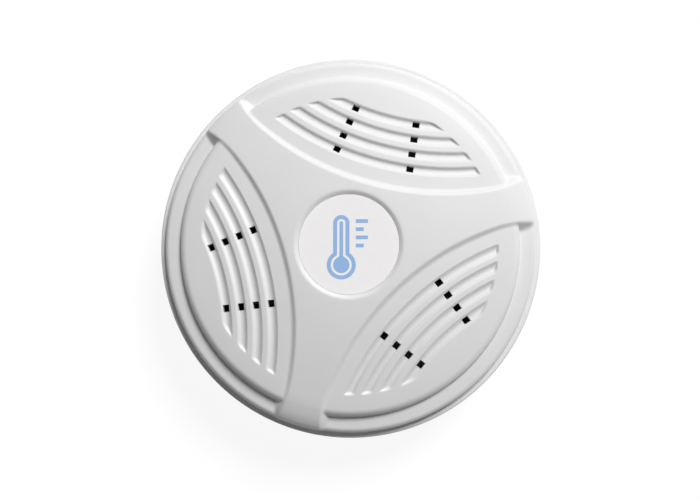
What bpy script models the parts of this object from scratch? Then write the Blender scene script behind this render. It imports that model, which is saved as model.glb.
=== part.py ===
"""Round room temperature sensor for a wall, modelled in metres.

The housing lies on its back. Its wall face is z = 0, +Z points out of the
front and +Y is up on the wall. The origin is the middle of the wall face.
"""

from math import asin, ceil, cos, hypot, pi, radians, sin, sqrt

import bmesh
import bpy
from mathutils import Matrix, Vector

MM = 0.001

# Overall sizes
HOUSING_RADIUS = 42.5 * MM
OVERALL_HEIGHT = 24.0 * MM
GAP = 0.3 * MM
ROUND_STEPS = 60
SMALL_ROUND_STEPS = 16
FILLET_STEPS = 3

# Crown of the front: a wide sphere with a tighter shoulder at its rim
CROWN_RADIUS = 178.0 * MM
SHOULDER_RADIUS = 24.0 * MM
SHOULDER_WIDTH = 8.5 * MM
RING_PITCH = 8.0 * MM

# Three-armed web and the lens panels between its arms
ARM_COUNT = 3
FIRST_ARM_ANGLE = radians(14.15)
WEB_WAIST = 14.0 * MM
LENS_ARC_RADIUS = 64.5 * MM
PANEL_SINK = 0.7 * MM
STEP_EDGE = 0.25 * MM
ARC_STEP = 3.6 * MM
CUTTER_HALF_SWEEP = radians(42)

# Ring ledge round the panels
LEDGE_WIDTH = 3.7 * MM
LEDGE_FALL = 0.3 * MM
LEDGE_EDGE_RADIUS = 1.25 * MM
LEDGE_EDGE_TURN = radians(75)
PANEL_WALL_HEIGHT = 1.5 * MM
PANEL_EDGE_RADIUS = 1.0 * MM
COVER_EDGE_RADIUS = 0.8 * MM

# Curved grooves and the square vents in their floors
FIRST_GROOVE_INSET = 4.75 * MM
GROOVE_PITCH = 3.32 * MM
GROOVE_TOP_WIDTH = 2.1 * MM
GROOVE_FLOOR_WIDTH = 0.8 * MM
GROOVE_DEPTH = 0.8 * MM
GROOVE_END_MARGIN = 5.0 * MM
VENT_ANGLE = radians(7.8)
VENT_ALONG = 1.3 * MM
VENT_ACROSS = 1.2 * MM

# Badge disc and its seat in the middle of the web
BADGE_RADIUS = 10.9 * MM
BADGE_THICKNESS = 0.3 * MM
BADGE_DEPTH = 0.5 * MM
SEAT_EDGE_RADIUS = 1.1 * MM

# Walls of the front cover
FRONT_WALL = 2.6 * MM
LEDGE_WALL = 2.0 * MM
SKIRT_WALL = 1.8 * MM
PANEL_RIM_WALL = 1.8 * MM
NESTING_DEPTH = 2.0 * MM

# Rear base
RIM_WIDTH = 1.2 * MM
RIM_EDGE_RADIUS = 0.45 * MM
RIM_STEP = 2.3 * MM
RIM_DRAFT = 0.25 * MM
BELLY_HEIGHT = 9.0 * MM
BASE_FLOOR = 2.0 * MM
BASE_WALL = 1.8 * MM
BASE_TAPER = 0.6 * MM
BASE_FOOT_CHAMFER = 0.6 * MM

# Catch tongues of the cover and their pockets in the base
TONGUE_WIDTH = 9.0 * MM
TONGUE_THICKNESS = 1.5 * MM
TONGUE_TIP_HEIGHT = 6.0 * MM
CATCH_HEIGHT = 3.0 * MM
CATCH_BITE = 0.8 * MM
SINK_IN = 0.4 * MM

# Wall screw slots and cable entry in the base floor
SLOT_SPACING = 60.0 * MM
SLOT_WIDTH = 4.6 * MM
SLOT_LENGTH = 8.6 * MM
ENTRY_WIDTH = 18.0 * MM
ENTRY_HEIGHT = 10.0 * MM
ENTRY_OFFSET = 27.0 * MM
ENTRY_CORNER = 2.5 * MM
COLLAR_WALL = 1.2 * MM
COLLAR_HEIGHT = 1.4 * MM

# Circuit board, its posts and screws
BOARD_RADIUS = 30.0 * MM
BOARD_THICKNESS = 1.6 * MM
BOARD_CUT_OFF = 13.0 * MM
BOARD_NOTCH_RADIUS = 6.5 * MM
POST_ANGLES = (radians(100), radians(200), radians(340))
POST_INSET = 4.5 * MM
POST_RADIUS = 3.2 * MM
PILOT_END_WALL = 0.4 * MM
SCREW_SHANK_RADIUS = 1.1 * MM
SCREW_END_ROOM = 0.8 * MM
SCREW_HEAD_RADIUS = 2.7 * MM
SCREW_HEAD_HEIGHT = 1.7 * MM
SCREW_CROSS_WIDTH = 0.6 * MM
SCREW_CROSS_LENGTH = 2.8 * MM
SCREW_CROSS_DEPTH = 0.9 * MM

# Screw terminal
WAY_COUNT = 3
WAY_PITCH = 5.08 * MM
TERMINAL_DEPTH = 8.0 * MM
TERMINAL_HEIGHT = 10.0 * MM
TERMINAL_HEADROOM = 2.0 * MM
TERMINAL_WALL = 0.8 * MM
TERMINAL_FLOOR = 1.0 * MM
TERMINAL_SETBACK = 0.6 * MM
CLAMP_DEPTH = 3.6 * MM
CLAMP_HEIGHT = 4.4 * MM
CLAMP_WALL = 0.8 * MM
CLAMP_INSET = 2.2 * MM
PIN_SIDE = 0.8 * MM
PIN_REACH = 1.0 * MM
CLAMP_SCREW_RADIUS = 1.0 * MM
CLAMP_SCREW_HEAD_RADIUS = 1.5 * MM
CLAMP_SCREW_HEAD_HEIGHT = 1.4 * MM
CLAMP_SCREW_SLOT = 0.5 * MM

# Temperature sensor under the upper panel
SENSOR_INSET = 7.0 * MM
SENSOR_RADIUS = 2.3 * MM
SENSOR_FLAT = 1.2 * MM
SENSOR_HEIGHT = 4.6 * MM
LEAD_SIDE = 0.45 * MM
LEAD_PITCH = 1.27 * MM
LEAD_RISE = 3.4 * MM

# Surface-mounted parts: places on the board and sizes
CHIP_X = -9.0 * MM
CHIP_Y = 9.0 * MM
CHIP_SIDE = 5.0 * MM
CHIP_HEIGHT = 0.9 * MM
CHIP_EDGE = 0.1 * MM
REGULATOR_X = 13.5 * MM
REGULATOR_Y = 11.0 * MM
REGULATOR_WIDTH = 6.5 * MM
REGULATOR_LENGTH = 6.1 * MM
REGULATOR_HEIGHT = 2.3 * MM
REGULATOR_EDGE = 0.4 * MM
TAB_WIDTH = 5.2 * MM
TAB_LENGTH = 1.2 * MM
TAB_HEIGHT = 0.5 * MM
CAN_X = 12.0 * MM
CAN_Y = -0.5 * MM
CAN_RADIUS = 3.15 * MM
CAN_HEIGHT = 5.0 * MM
CAN_EDGE = 0.4 * MM
CAN_FOOT_SIDE = 6.6 * MM
CAN_FOOT_HEIGHT = 1.0 * MM
CAN_FOOT_EDGE = 0.2 * MM
DIODE_X = -15.0 * MM
DIODE_Y = -2.5 * MM
DIODE_WIDTH = 4.3 * MM
DIODE_LENGTH = 2.6 * MM
DIODE_HEIGHT = 2.1 * MM
DIODE_EDGE = 0.3 * MM
CERAMIC_WIDTH = 3.2 * MM
CERAMIC_LENGTH = 1.6 * MM
CERAMIC_HEIGHT = 1.4 * MM
FIRST_CERAMIC_X = -9.0 * MM
FIRST_CERAMIC_Y = 3.5 * MM
SECOND_CERAMIC_X = 5.0 * MM
SECOND_CERAMIC_Y = 5.5 * MM
RESISTOR_COUNT = 3
RESISTOR_WIDTH = 3.2 * MM
RESISTOR_LENGTH = 1.6 * MM
RESISTOR_HEIGHT = 0.6 * MM
RESISTOR_PITCH = 4.0 * MM
RESISTOR_ROW_Y = 12.0 * MM


# Levels and radii that follow from the sizes above

COVER_RADIUS = HOUSING_RADIUS - RIM_WIDTH - GAP
SHOULDER_START = COVER_RADIUS + GAP + RIM_WIDTH - SHOULDER_WIDTH
PANEL_FOOT_RADIUS = COVER_RADIUS - LEDGE_WIDTH
GROOVE_END_RADIUS = PANEL_FOOT_RADIUS - GROOVE_END_MARGIN
LENS_CENTRE_OUT = WEB_WAIST + LENS_ARC_RADIUS
SEAT_RADIUS = BADGE_RADIUS + GAP
SEAT_TOP_RADIUS = SEAT_RADIUS + SEAT_EDGE_RADIUS
BASE_INNER_RADIUS = HOUSING_RADIUS - BASE_TAPER - BASE_WALL


def sphere_drop(radius):
    """How far the crown's wide sphere lies below its apex."""
    return CROWN_RADIUS - sqrt(CROWN_RADIUS ** 2 - radius ** 2)


def crown_drop(radius):
    """How far the crowned front, shoulder included, lies below its apex."""
    if radius <= SHOULDER_START:
        return sphere_drop(radius)
    slope_start = asin(SHOULDER_START / CROWN_RADIUS)
    slope_here = asin(sin(slope_start) + (radius - SHOULDER_START) / SHOULDER_RADIUS)
    return sphere_drop(SHOULDER_START) + SHOULDER_RADIUS * (cos(slope_start) - cos(slope_here))


PANEL_EDGE_LEVEL = -sphere_drop(PANEL_FOOT_RADIUS - PANEL_EDGE_RADIUS) - PANEL_SINK
LEDGE_LEVEL = PANEL_EDGE_LEVEL - PANEL_WALL_HEIGHT
RIM_LEVEL = LEDGE_LEVEL - LEDGE_FALL - RIM_STEP
LEDGE_UNDERSIDE_LEVEL = LEDGE_LEVEL - LEDGE_WALL
NEST_FLOOR_LEVEL = RIM_LEVEL - NESTING_DEPTH
SKIRT_END_LEVEL = NEST_FLOOR_LEVEL + GAP
BADGE_TOP_LEVEL = -sphere_drop(SEAT_TOP_RADIUS) - BADGE_DEPTH
SEAT_FLOOR_LEVEL = BADGE_TOP_LEVEL - BADGE_THICKNESS - GAP

# The crest of the front is the rim of the badge seat, so the apex is virtual
APEX_HEIGHT = OVERALL_HEIGHT + sphere_drop(SEAT_TOP_RADIUS)

# The board hangs as far below the front as the terminal needs
TERMINAL_WIDTH = WAY_COUNT * WAY_PITCH + TERMINAL_WALL
TERMINAL_FRONT = BOARD_CUT_OFF - TERMINAL_SETBACK
TERMINAL_CORNER_RADIUS = hypot(TERMINAL_WIDTH / 2, TERMINAL_FRONT)
FRONT_UNDERSIDE = APEX_HEIGHT - sphere_drop(TERMINAL_CORNER_RADIUS) - FRONT_WALL
PART_BOTTOM = FRONT_UNDERSIDE - TERMINAL_HEADROOM - TERMINAL_HEIGHT
BOARD_TOP = PART_BOTTOM - GAP
BOARD_BOTTOM = BOARD_TOP - BOARD_THICKNESS
POST_TOP = BOARD_BOTTOM - GAP
POST_CIRCLE_RADIUS = BOARD_RADIUS - POST_INSET
PILOT_FLOOR = BASE_FLOOR + PILOT_END_WALL
SENSOR_DISTANCE = BOARD_RADIUS - SENSOR_INSET


def relief(radius, level):
    """Turn a level below the apex into a height above the crowned surface."""
    return level + crown_drop(radius)


# Tools that every piece is made with

def clear_scene():
    """Start from an empty scene."""
    for item in list(bpy.data.objects):
        bpy.data.objects.remove(item)


def material(name, hex_colour, roughness, metallic=0.0):
    """A plain finish for one kind of piece, from an sRGB hex colour."""
    finish = bpy.data.materials.new(name)
    finish.use_nodes = True
    shader = finish.node_tree.nodes["Principled BSDF"]
    channels = [int(hex_colour[i:i + 2], 16) / 255 for i in (0, 2, 4)]
    linear = [c / 12.92 if c <= 0.04045 else ((c + 0.055) / 1.055) ** 2.4 for c in channels]
    shader.inputs["Base Color"].default_value = (*linear, 1.0)
    shader.inputs["Roughness"].default_value = roughness
    shader.inputs["Metallic"].default_value = metallic
    return finish


def place(name, shape, finish=None):
    """Make a finished bmesh a named object in the scene."""
    bmesh.ops.recalc_face_normals(shape, faces=shape.faces)
    mesh = bpy.data.meshes.new(name)
    shape.to_mesh(mesh)
    shape.free()
    item = bpy.data.objects.new(name, mesh)
    bpy.context.collection.objects.link(item)
    if finish:
        mesh.materials.append(finish)
    return item


def smooth(item):
    """Shade round faces smooth and keep the true edges sharp."""
    item.data.shade_smooth()
    item.data.set_sharp_from_angle(angle=radians(30))


def paint(item, finish):
    """Give a finished piece its one material and its shading."""
    item.data.materials.clear()
    item.data.materials.append(finish)
    smooth(item)


def combine(target, tool, operation):
    """Cut, join or intersect two closed solids, and use the tool up."""
    modifier = target.modifiers.new(operation, "BOOLEAN")
    modifier.operation = operation
    modifier.solver = "EXACT"
    modifier.object = tool
    bpy.context.view_layer.update()
    result = target.evaluated_get(bpy.context.evaluated_depsgraph_get())
    mesh = bpy.data.meshes.new_from_object(result)
    target.modifiers.clear()
    target.data = mesh
    bpy.data.objects.remove(tool)


def turned(profile, steps=ROUND_STEPS, centre=(0.0, 0.0), start=0.0):
    """Turn a profile of (radius, height) points once round a vertical axis."""
    shape = bmesh.new()
    points = []
    for radius, height in profile:
        x = centre[0] + radius * cos(start)
        y = centre[1] + radius * sin(start)
        points.append(shape.verts.new((x, y, height)))
    joined = list(zip(points, points[1:]))
    if profile[0][0] > 0:
        joined.append((points[-1], points[0]))
    lines = [shape.edges.new(pair) for pair in joined]
    middle = (centre[0], centre[1], 0)
    bmesh.ops.spin(shape, geom=points + lines, cent=middle, axis=(0, 0, 1),
                   angle=2 * pi, steps=steps, use_merge=True)
    bmesh.ops.remove_doubles(shape, verts=shape.verts, dist=0.001 * MM)
    return shape


def rod(radius, low, high, centre=(0.0, 0.0), steps=SMALL_ROUND_STEPS):
    """An upright round bar, or the cutter of a round hole."""
    return turned([(0, low), (radius, low), (radius, high), (0, high)], steps, centre)


def swept(shape, profile, centre, facing, half_sweep):
    """Add a closed profile carried along an arc about a vertical axis."""
    start = facing - half_sweep
    widest = max(radius for radius, height in profile)
    steps = ceil(2 * half_sweep * widest / ARC_STEP)
    points = []
    for radius, height in profile:
        x = centre[0] + radius * cos(start)
        y = centre[1] + radius * sin(start)
        points.append(shape.verts.new((x, y, height)))
    face = shape.faces.new(points)
    bmesh.ops.spin(shape, geom=[face], cent=(*centre, 0), axis=(0, 0, 1),
                   angle=2 * half_sweep, steps=steps)


def add_block(shape, size, centre, turn=0.0):
    """Add a box to a bmesh, turned about its own vertical axis."""
    matrix = Matrix.Translation(centre) @ Matrix.Rotation(turn, 4, "Z") @ Matrix.Diagonal((*size, 1))
    return bmesh.ops.create_cube(shape, size=1.0, matrix=matrix)["verts"]


def block(size, centre, turn=0.0):
    """A box, or the cutter of a square hole."""
    shape = bmesh.new()
    add_block(shape, size, centre, turn)
    return shape


def chamfer_top(shape, width):
    """Bevel the edges round a shape's top face."""
    top = max(vertex.co.z for vertex in shape.verts)
    edges = [e for e in shape.edges if all(abs(v.co.z - top) < 0.01 * MM for v in e.verts)]
    bmesh.ops.bevel(shape, geom=edges, offset=width, segments=1, affect="EDGES")


def add_capsule(shape, centre, length, width, low, high, along_x):
    """Add an upright slot cutter: a box with round ends."""
    steps = SMALL_ROUND_STEPS // 2 - 1
    straight = (length - width) / 2
    outline = []
    for end, first in ((straight, -pi / 2), (-straight, pi / 2)):
        for step in range(steps + 1):
            angle = first + pi * step / steps
            u = end + width / 2 * cos(angle)
            v = width / 2 * sin(angle)
            x, y = (u, v) if along_x else (-v, u)
            outline.append(shape.verts.new((centre[0] + x, centre[1] + y, low)))
    face = shape.faces.new(outline)
    raised = bmesh.ops.extrude_face_region(shape, geom=[face])["geom"]
    moved = [item for item in raised if isinstance(item, bmesh.types.BMVert)]
    bmesh.ops.translate(shape, verts=moved, vec=(0, 0, high - low))


def on_circle(radius, angle):
    """A point of the board plane, by its distance and direction."""
    return Vector((radius * cos(angle), radius * sin(angle)))


def arc(centre_r, centre_z, radius, first, last):
    """Points of a round stretch of a profile; angle 0 points straight up."""
    points = []
    for step in range(FILLET_STEPS + 1):
        angle = first + (last - first) * step / FILLET_STEPS
        points.append((centre_r + radius * sin(angle), centre_z + radius * cos(angle)))
    return points


def ring_radii(inner, outer):
    """Radii that split a wide band into rings fine enough for the crown."""
    count = ceil((outer - inner) / RING_PITCH)
    return [inner + (outer - inner) * step / count for step in range(1, count)]


def arm_directions():
    """Directions of the three arms of the web."""
    return [FIRST_ARM_ANGLE + 2 * pi / ARM_COUNT * index for index in range(ARM_COUNT)]


def first_panel_direction():
    """Direction of the panel nearest the top, half way between two arms."""
    return FIRST_ARM_ANGLE + pi / ARM_COUNT


def cut_every_panel(target, tool):
    """Cut with one panel's tool, turned from panel to panel."""
    for index in range(ARM_COUNT):
        turned_tool = tool.copy()
        turned_tool.data = tool.data.copy()
        turned_tool.data.transform(Matrix.Rotation(2 * pi / ARM_COUNT * index, 4, "Z"))
        bpy.context.collection.objects.link(turned_tool)
        combine(target, turned_tool, "DIFFERENCE")
    bpy.data.objects.remove(tool)


# Front cover: modelled with its crown pressed flat, then crowned

def cover_blank():
    """The cover before its panels are sunk: badge seat, front, edge and skirt."""
    seat = [(r, relief(r, SEAT_FLOOR_LEVEL)) for r in (0, SEAT_RADIUS / 2, SEAT_RADIUS)]
    seat_edge = arc(SEAT_TOP_RADIUS, -SEAT_EDGE_RADIUS, SEAT_EDGE_RADIUS, -pi / 2, 0)
    front_edge = COVER_RADIUS - COVER_EDGE_RADIUS
    front = [(r, 0.0) for r in ring_radii(SEAT_TOP_RADIUS, SHOULDER_START)]
    shoulder = [(r, 0.0) for r in (SHOULDER_START, (SHOULDER_START + front_edge) / 2)]
    edge = arc(front_edge, -COVER_EDGE_RADIUS, COVER_EDGE_RADIUS, 0, pi / 2)
    skirt_inner = COVER_RADIUS - SKIRT_WALL
    panel_inner = PANEL_FOOT_RADIUS - PANEL_RIM_WALL
    skirt = [
        (COVER_RADIUS, relief(COVER_RADIUS, SKIRT_END_LEVEL)),
        (skirt_inner, relief(skirt_inner, SKIRT_END_LEVEL)),
        (skirt_inner, relief(skirt_inner, LEDGE_UNDERSIDE_LEVEL)),
        (panel_inner, relief(panel_inner, LEDGE_UNDERSIDE_LEVEL)),
        (panel_inner, -FRONT_WALL - SINK_IN),
        (panel_inner - SINK_IN, -FRONT_WALL),
    ]
    inside = [(r, -FRONT_WALL) for r in reversed(ring_radii(0, panel_inner - SINK_IN))]
    profile = seat + seat_edge + front + shoulder + edge + skirt + inside + [(0, -FRONT_WALL)]
    return place("front_cover", turned(profile))


def space_over_panels():
    """All that lies above the panels and the ring ledge, to be cut away."""
    wall_centre = PANEL_FOOT_RADIUS - PANEL_EDGE_RADIUS
    wall_top = -sphere_drop(wall_centre) - PANEL_SINK
    slope = asin(wall_centre / CROWN_RADIUS)
    levels = [(r, -sphere_drop(r) - PANEL_SINK) for r in [0, *ring_radii(0, wall_centre)]]
    levels += arc(wall_centre, wall_top - PANEL_EDGE_RADIUS, PANEL_EDGE_RADIUS, slope, pi / 2)
    levels.append((PANEL_FOOT_RADIUS, LEDGE_LEVEL))
    ledge_edge = COVER_RADIUS - LEDGE_EDGE_RADIUS
    edge_level = LEDGE_LEVEL - LEDGE_FALL
    fall = arc(ledge_edge, edge_level - LEDGE_EDGE_RADIUS, LEDGE_EDGE_RADIUS, 0, LEDGE_EDGE_TURN)
    levels += fall
    outside = HOUSING_RADIUS + LEDGE_WIDTH
    levels.append((outside, fall[-1][1]))
    profile = [(r, relief(r, level)) for r, level in levels]
    above = FRONT_WALL
    profile += [(outside, above), (0, above)]
    return turned(profile, start=first_panel_direction())


def lens_sector():
    """The space inside one lens arc, with the sloped side of the web's step."""
    direction = first_panel_direction()
    centre = on_circle(LENS_CENTRE_OUT, direction)
    deep = PANEL_SINK + PANEL_WALL_HEIGHT + LEDGE_FALL + LEDGE_EDGE_RADIUS
    top = LENS_ARC_RADIUS + PANEL_SINK / 2
    near = LENS_CENTRE_OUT - HOUSING_RADIUS - LEDGE_WIDTH * 2
    profile = [
        (near, -deep),
        (top - deep, -deep),
        (top - STEP_EDGE, -STEP_EDGE),
        (top + STEP_EDGE, STEP_EDGE / 4),
        (top + STEP_EDGE, FRONT_WALL / 2),
        (near, FRONT_WALL / 2),
    ]
    shape = bmesh.new()
    swept(shape, profile, centre, direction + pi, CUTTER_HALF_SWEEP)
    return shape


def groove_radii():
    """Radii, about the lens arc's centre, of the grooves that fit the panel."""
    nearest = WEB_WAIST + FIRST_GROOVE_INSET
    room = GROOVE_END_RADIUS - GROOVE_TOP_WIDTH / 2 - nearest
    count = int(room / GROOVE_PITCH) + 1
    first = LENS_ARC_RADIUS - FIRST_GROOVE_INSET
    return [first - GROOVE_PITCH * index for index in range(count)]


def groove_cutter():
    """The grooves of one panel, their ends cut by one sloped circle."""
    direction = first_panel_direction()
    centre = on_circle(LENS_CENTRE_OUT, direction)
    slope = (GROOVE_TOP_WIDTH - GROOVE_FLOOR_WIDTH) / 2 / GROOVE_DEPTH
    floor = -PANEL_SINK - GROOVE_DEPTH
    rise = GROOVE_DEPTH + PANEL_SINK / 2
    half_floor = GROOVE_FLOOR_WIDTH / 2
    half_top = half_floor + rise * slope
    shape = bmesh.new()
    for radius in groove_radii():
        profile = [
            (radius - half_floor, floor),
            (radius + half_floor, floor),
            (radius + half_top, floor + rise),
            (radius - half_top, floor + rise),
        ]
        swept(shape, profile, centre, direction + pi, CUTTER_HALF_SWEEP)
    grooves = place("grooves", shape)
    end_floor = GROOVE_END_RADIUS - GROOVE_DEPTH * slope
    reach = 2 * GROOVE_DEPTH
    ends = [
        (0, floor - reach),
        (end_floor - reach * slope, floor - reach),
        (end_floor + (rise + reach) * slope, floor + rise + reach),
        (0, floor + rise + reach),
    ]
    combine(grooves, place("groove_ends", turned(ends, start=direction)), "INTERSECT")
    return grooves


def vent_cutter():
    """Square holes through the groove floors of one panel, two to a groove."""
    shape = bmesh.new()
    direction = first_panel_direction()
    centre = on_circle(LENS_CENTRE_OUT, direction)
    size = (VENT_ACROSS, VENT_ALONG, 4 * FRONT_WALL)
    for radius in groove_radii():
        for side in (-VENT_ANGLE, VENT_ANGLE):
            spot = centre + on_circle(radius, direction + pi + side)
            add_block(shape, size, (*spot, -FRONT_WALL), direction + side)
    return place("vents", shape)


def catch_tongue(direction):
    """One springy tongue with a catch that points outwards, below the ledge."""
    outer = COVER_RADIUS - SKIRT_WALL
    inner = outer - TONGUE_THICKNESS
    tip = TONGUE_TIP_HEIGHT
    top = APEX_HEIGHT + LEDGE_UNDERSIDE_LEVEL + SINK_IN
    bite = BASE_INNER_RADIUS + CATCH_BITE
    catch_top = tip + CATCH_HEIGHT
    profile = [
        (inner, tip),
        (outer, tip),
        (bite, tip + CATCH_HEIGHT * 2 / 3),
        (bite, catch_top),
        (outer, catch_top),
        (outer, APEX_HEIGHT + SKIRT_END_LEVEL),
        (outer + SINK_IN, APEX_HEIGHT + SKIRT_END_LEVEL + SINK_IN),
        (outer + SINK_IN, top),
        (inner, top),
    ]
    shape = bmesh.new()
    half_sweep = asin(TONGUE_WIDTH / 2 / outer)
    swept(shape, profile, (0.0, 0.0), direction, half_sweep)
    return place("tongue", shape)


def make_front_cover(finish):
    """The one-piece front: web, panels, grooves, vents, ledge, skirt and catches."""
    cover = cover_blank()
    pocket = place("pocket", space_over_panels())
    combine(pocket, place("sector", lens_sector()), "INTERSECT")
    cut_every_panel(cover, pocket)
    cut_every_panel(cover, groove_cutter())
    cut_every_panel(cover, vent_cutter())
    for vertex in cover.data.vertices:
        vertex.co.z += APEX_HEIGHT - crown_drop(vertex.co.xy.length)
    for direction in arm_directions():
        combine(cover, catch_tongue(direction), "UNION")
    paint(cover, finish)


def make_badge_disc(finish):
    """Thin round label that lies in the seat of the web."""
    top = APEX_HEIGHT + BADGE_TOP_LEVEL
    disc = rod(BADGE_RADIUS, top - BADGE_THICKNESS, top, steps=ROUND_STEPS)
    smooth(place("badge_disc", disc, finish))


# Rear base

def base_blank():
    """The dish: floor, bellied wall, round rim and the nest for the skirt."""
    rim = APEX_HEIGHT + RIM_LEVEL
    nest = APEX_HEIGHT + NEST_FLOOR_LEVEL
    foot_radius = HOUSING_RADIUS - BASE_TAPER
    lip_radius = HOUSING_RADIUS - RIM_WIDTH
    round_start = HOUSING_RADIUS - RIM_DRAFT - RIM_EDGE_RADIUS
    rim_arc = arc(round_start, rim - RIM_EDGE_RADIUS, RIM_EDGE_RADIUS, pi / 2, 0)
    profile = [
        (0, 0),
        (foot_radius - BASE_FOOT_CHAMFER, 0),
        (foot_radius, BASE_FOOT_CHAMFER),
        (HOUSING_RADIUS, BELLY_HEIGHT),
        *rim_arc,
        (lip_radius, rim),
        (lip_radius, nest),
        (BASE_INNER_RADIUS, nest),
        (BASE_INNER_RADIUS, BASE_FLOOR + BASE_FOOT_CHAMFER),
        (BASE_INNER_RADIUS - BASE_FOOT_CHAMFER, BASE_FLOOR),
        (0, BASE_FLOOR),
    ]
    return place("rear_base", turned(profile))


def add_base_posts(base):
    """Three posts that carry the board, each with a pilot hole."""
    pilot = SCREW_SHANK_RADIUS + GAP
    profile = [
        (0, BASE_FLOOR - SINK_IN),
        (POST_RADIUS, BASE_FLOOR - SINK_IN),
        (POST_RADIUS, POST_TOP),
        (pilot, POST_TOP),
        (pilot, PILOT_FLOOR),
        (0, PILOT_FLOOR),
    ]
    for angle in POST_ANGLES:
        spot = on_circle(POST_CIRCLE_RADIUS, angle)
        combine(base, place("post", turned(profile, SMALL_ROUND_STEPS, spot)), "UNION")


def add_entry_collar(base):
    """A raised frame that stiffens the floor round the cable entry."""
    width = ENTRY_WIDTH + 2 * COLLAR_WALL
    height = ENTRY_HEIGHT + 2 * COLLAR_WALL
    tall = COLLAR_HEIGHT + SINK_IN
    middle = (0, -ENTRY_OFFSET, BASE_FLOOR - SINK_IN + tall / 2)
    combine(base, place("collar", block((width, height, tall), middle)), "UNION")


def rounded_upright(shape, size, centre, corner):
    """Add a box whose upright edges are rounded."""
    lower = min(add_block(shape, size, centre), key=lambda vertex: vertex.co.z).co.z
    uprights = []
    for edge in shape.edges:
        ends = sorted(vertex.co.z for vertex in edge.verts)
        if ends[0] == lower and ends[1] - ends[0] > size[2] / 2:
            uprights.append(edge)
    bmesh.ops.bevel(shape, geom=uprights, offset=corner, segments=3, affect="EDGES", profile=0.5)


def floor_cutter():
    """Wall screw slots and the cable entry, right through the floor."""
    shape = bmesh.new()
    low = -BASE_FLOOR
    high = BASE_FLOOR * 2
    reach = SLOT_SPACING / 2
    add_capsule(shape, (-reach, 0), SLOT_LENGTH, SLOT_WIDTH, low, high, along_x=False)
    add_capsule(shape, (reach, 0), SLOT_LENGTH, SLOT_WIDTH, low, high, along_x=True)
    tall = 2 * (BASE_FLOOR + COLLAR_HEIGHT) + BASE_FLOOR
    entry = (ENTRY_WIDTH, ENTRY_HEIGHT, tall)
    rounded_upright(shape, entry, (0, -ENTRY_OFFSET, 0), ENTRY_CORNER)
    return place("floor_holes", shape)


def pocket_cutter():
    """Pockets inside the wall that the cover's catches snap into."""
    bottom = TONGUE_TIP_HEIGHT
    top = TONGUE_TIP_HEIGHT + CATCH_HEIGHT + GAP
    deep = BASE_INNER_RADIUS + CATCH_BITE + GAP
    inner = BASE_INNER_RADIUS - SINK_IN
    profile = [(inner, bottom), (deep, bottom), (deep, top), (inner, top)]
    shape = bmesh.new()
    half_sweep = asin((TONGUE_WIDTH / 2 + GAP) / BASE_INNER_RADIUS)
    for direction in arm_directions():
        swept(shape, profile, (0.0, 0.0), direction, half_sweep)
    return place("catch_pockets", shape)


def make_rear_base(finish):
    """The one-piece base that is screwed to the wall."""
    base = base_blank()
    add_base_posts(base)
    add_entry_collar(base)
    combine(base, floor_cutter(), "DIFFERENCE")
    combine(base, pocket_cutter(), "DIFFERENCE")
    paint(base, finish)


# Circuit board

def sensor_place():
    """Where the sensor stands: under the panel nearest the top."""
    return on_circle(SENSOR_DISTANCE, first_panel_direction())


def lead_places():
    """The three leads stand in a row across the panel's direction."""
    row = on_circle(LEAD_PITCH, first_panel_direction() + pi / 2)
    return [sensor_place() + row * step for step in (-1, 0, 1)]


def way_centre_x(index):
    """Sideways place of one way of the screw terminal."""
    return (index - (WAY_COUNT - 1) / 2) * WAY_PITCH


def clamp_centre_y():
    """Depth of the clamps, screws and pins behind the terminal's mouth."""
    return CLAMP_INSET + CLAMP_DEPTH / 2 - TERMINAL_FRONT


def make_circuit_board(finish):
    """Round board, notched for the wall screws and cut off above the cable."""
    disc = rod(BOARD_RADIUS, BOARD_BOTTOM, BOARD_TOP, steps=ROUND_STEPS)
    board = place("circuit_board", disc)
    middle = (BOARD_BOTTOM + BOARD_TOP) / 2
    tall = 4 * BOARD_THICKNESS
    low = middle - tall / 2
    high = middle + tall / 2
    shape = bmesh.new()
    below_cut = (0, -BOARD_CUT_OFF - BOARD_RADIUS / 2, middle)
    add_block(shape, (2 * BOARD_RADIUS, BOARD_RADIUS, tall), below_cut)
    lead_hole = LEAD_SIDE + 2 * GAP
    for spot in lead_places():
        add_block(shape, (lead_hole, lead_hole, tall), (*spot, middle), first_panel_direction())
    pin_hole = PIN_SIDE + 2 * GAP
    for index in range(WAY_COUNT):
        add_block(shape, (pin_hole, pin_hole, tall), (way_centre_x(index), clamp_centre_y(), middle))
    combine(board, place("square_holes", shape), "DIFFERENCE")
    for side in (-1, 1):
        notch = rod(BOARD_NOTCH_RADIUS, low, high, (side * SLOT_SPACING / 2, 0))
        combine(board, place("notch", notch), "DIFFERENCE")
    for angle in POST_ANGLES:
        hole = rod(SCREW_SHANK_RADIUS + GAP, low, high, on_circle(POST_CIRCLE_RADIUS, angle))
        combine(board, place("screw_hole", hole), "DIFFERENCE")
    paint(board, finish)


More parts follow.
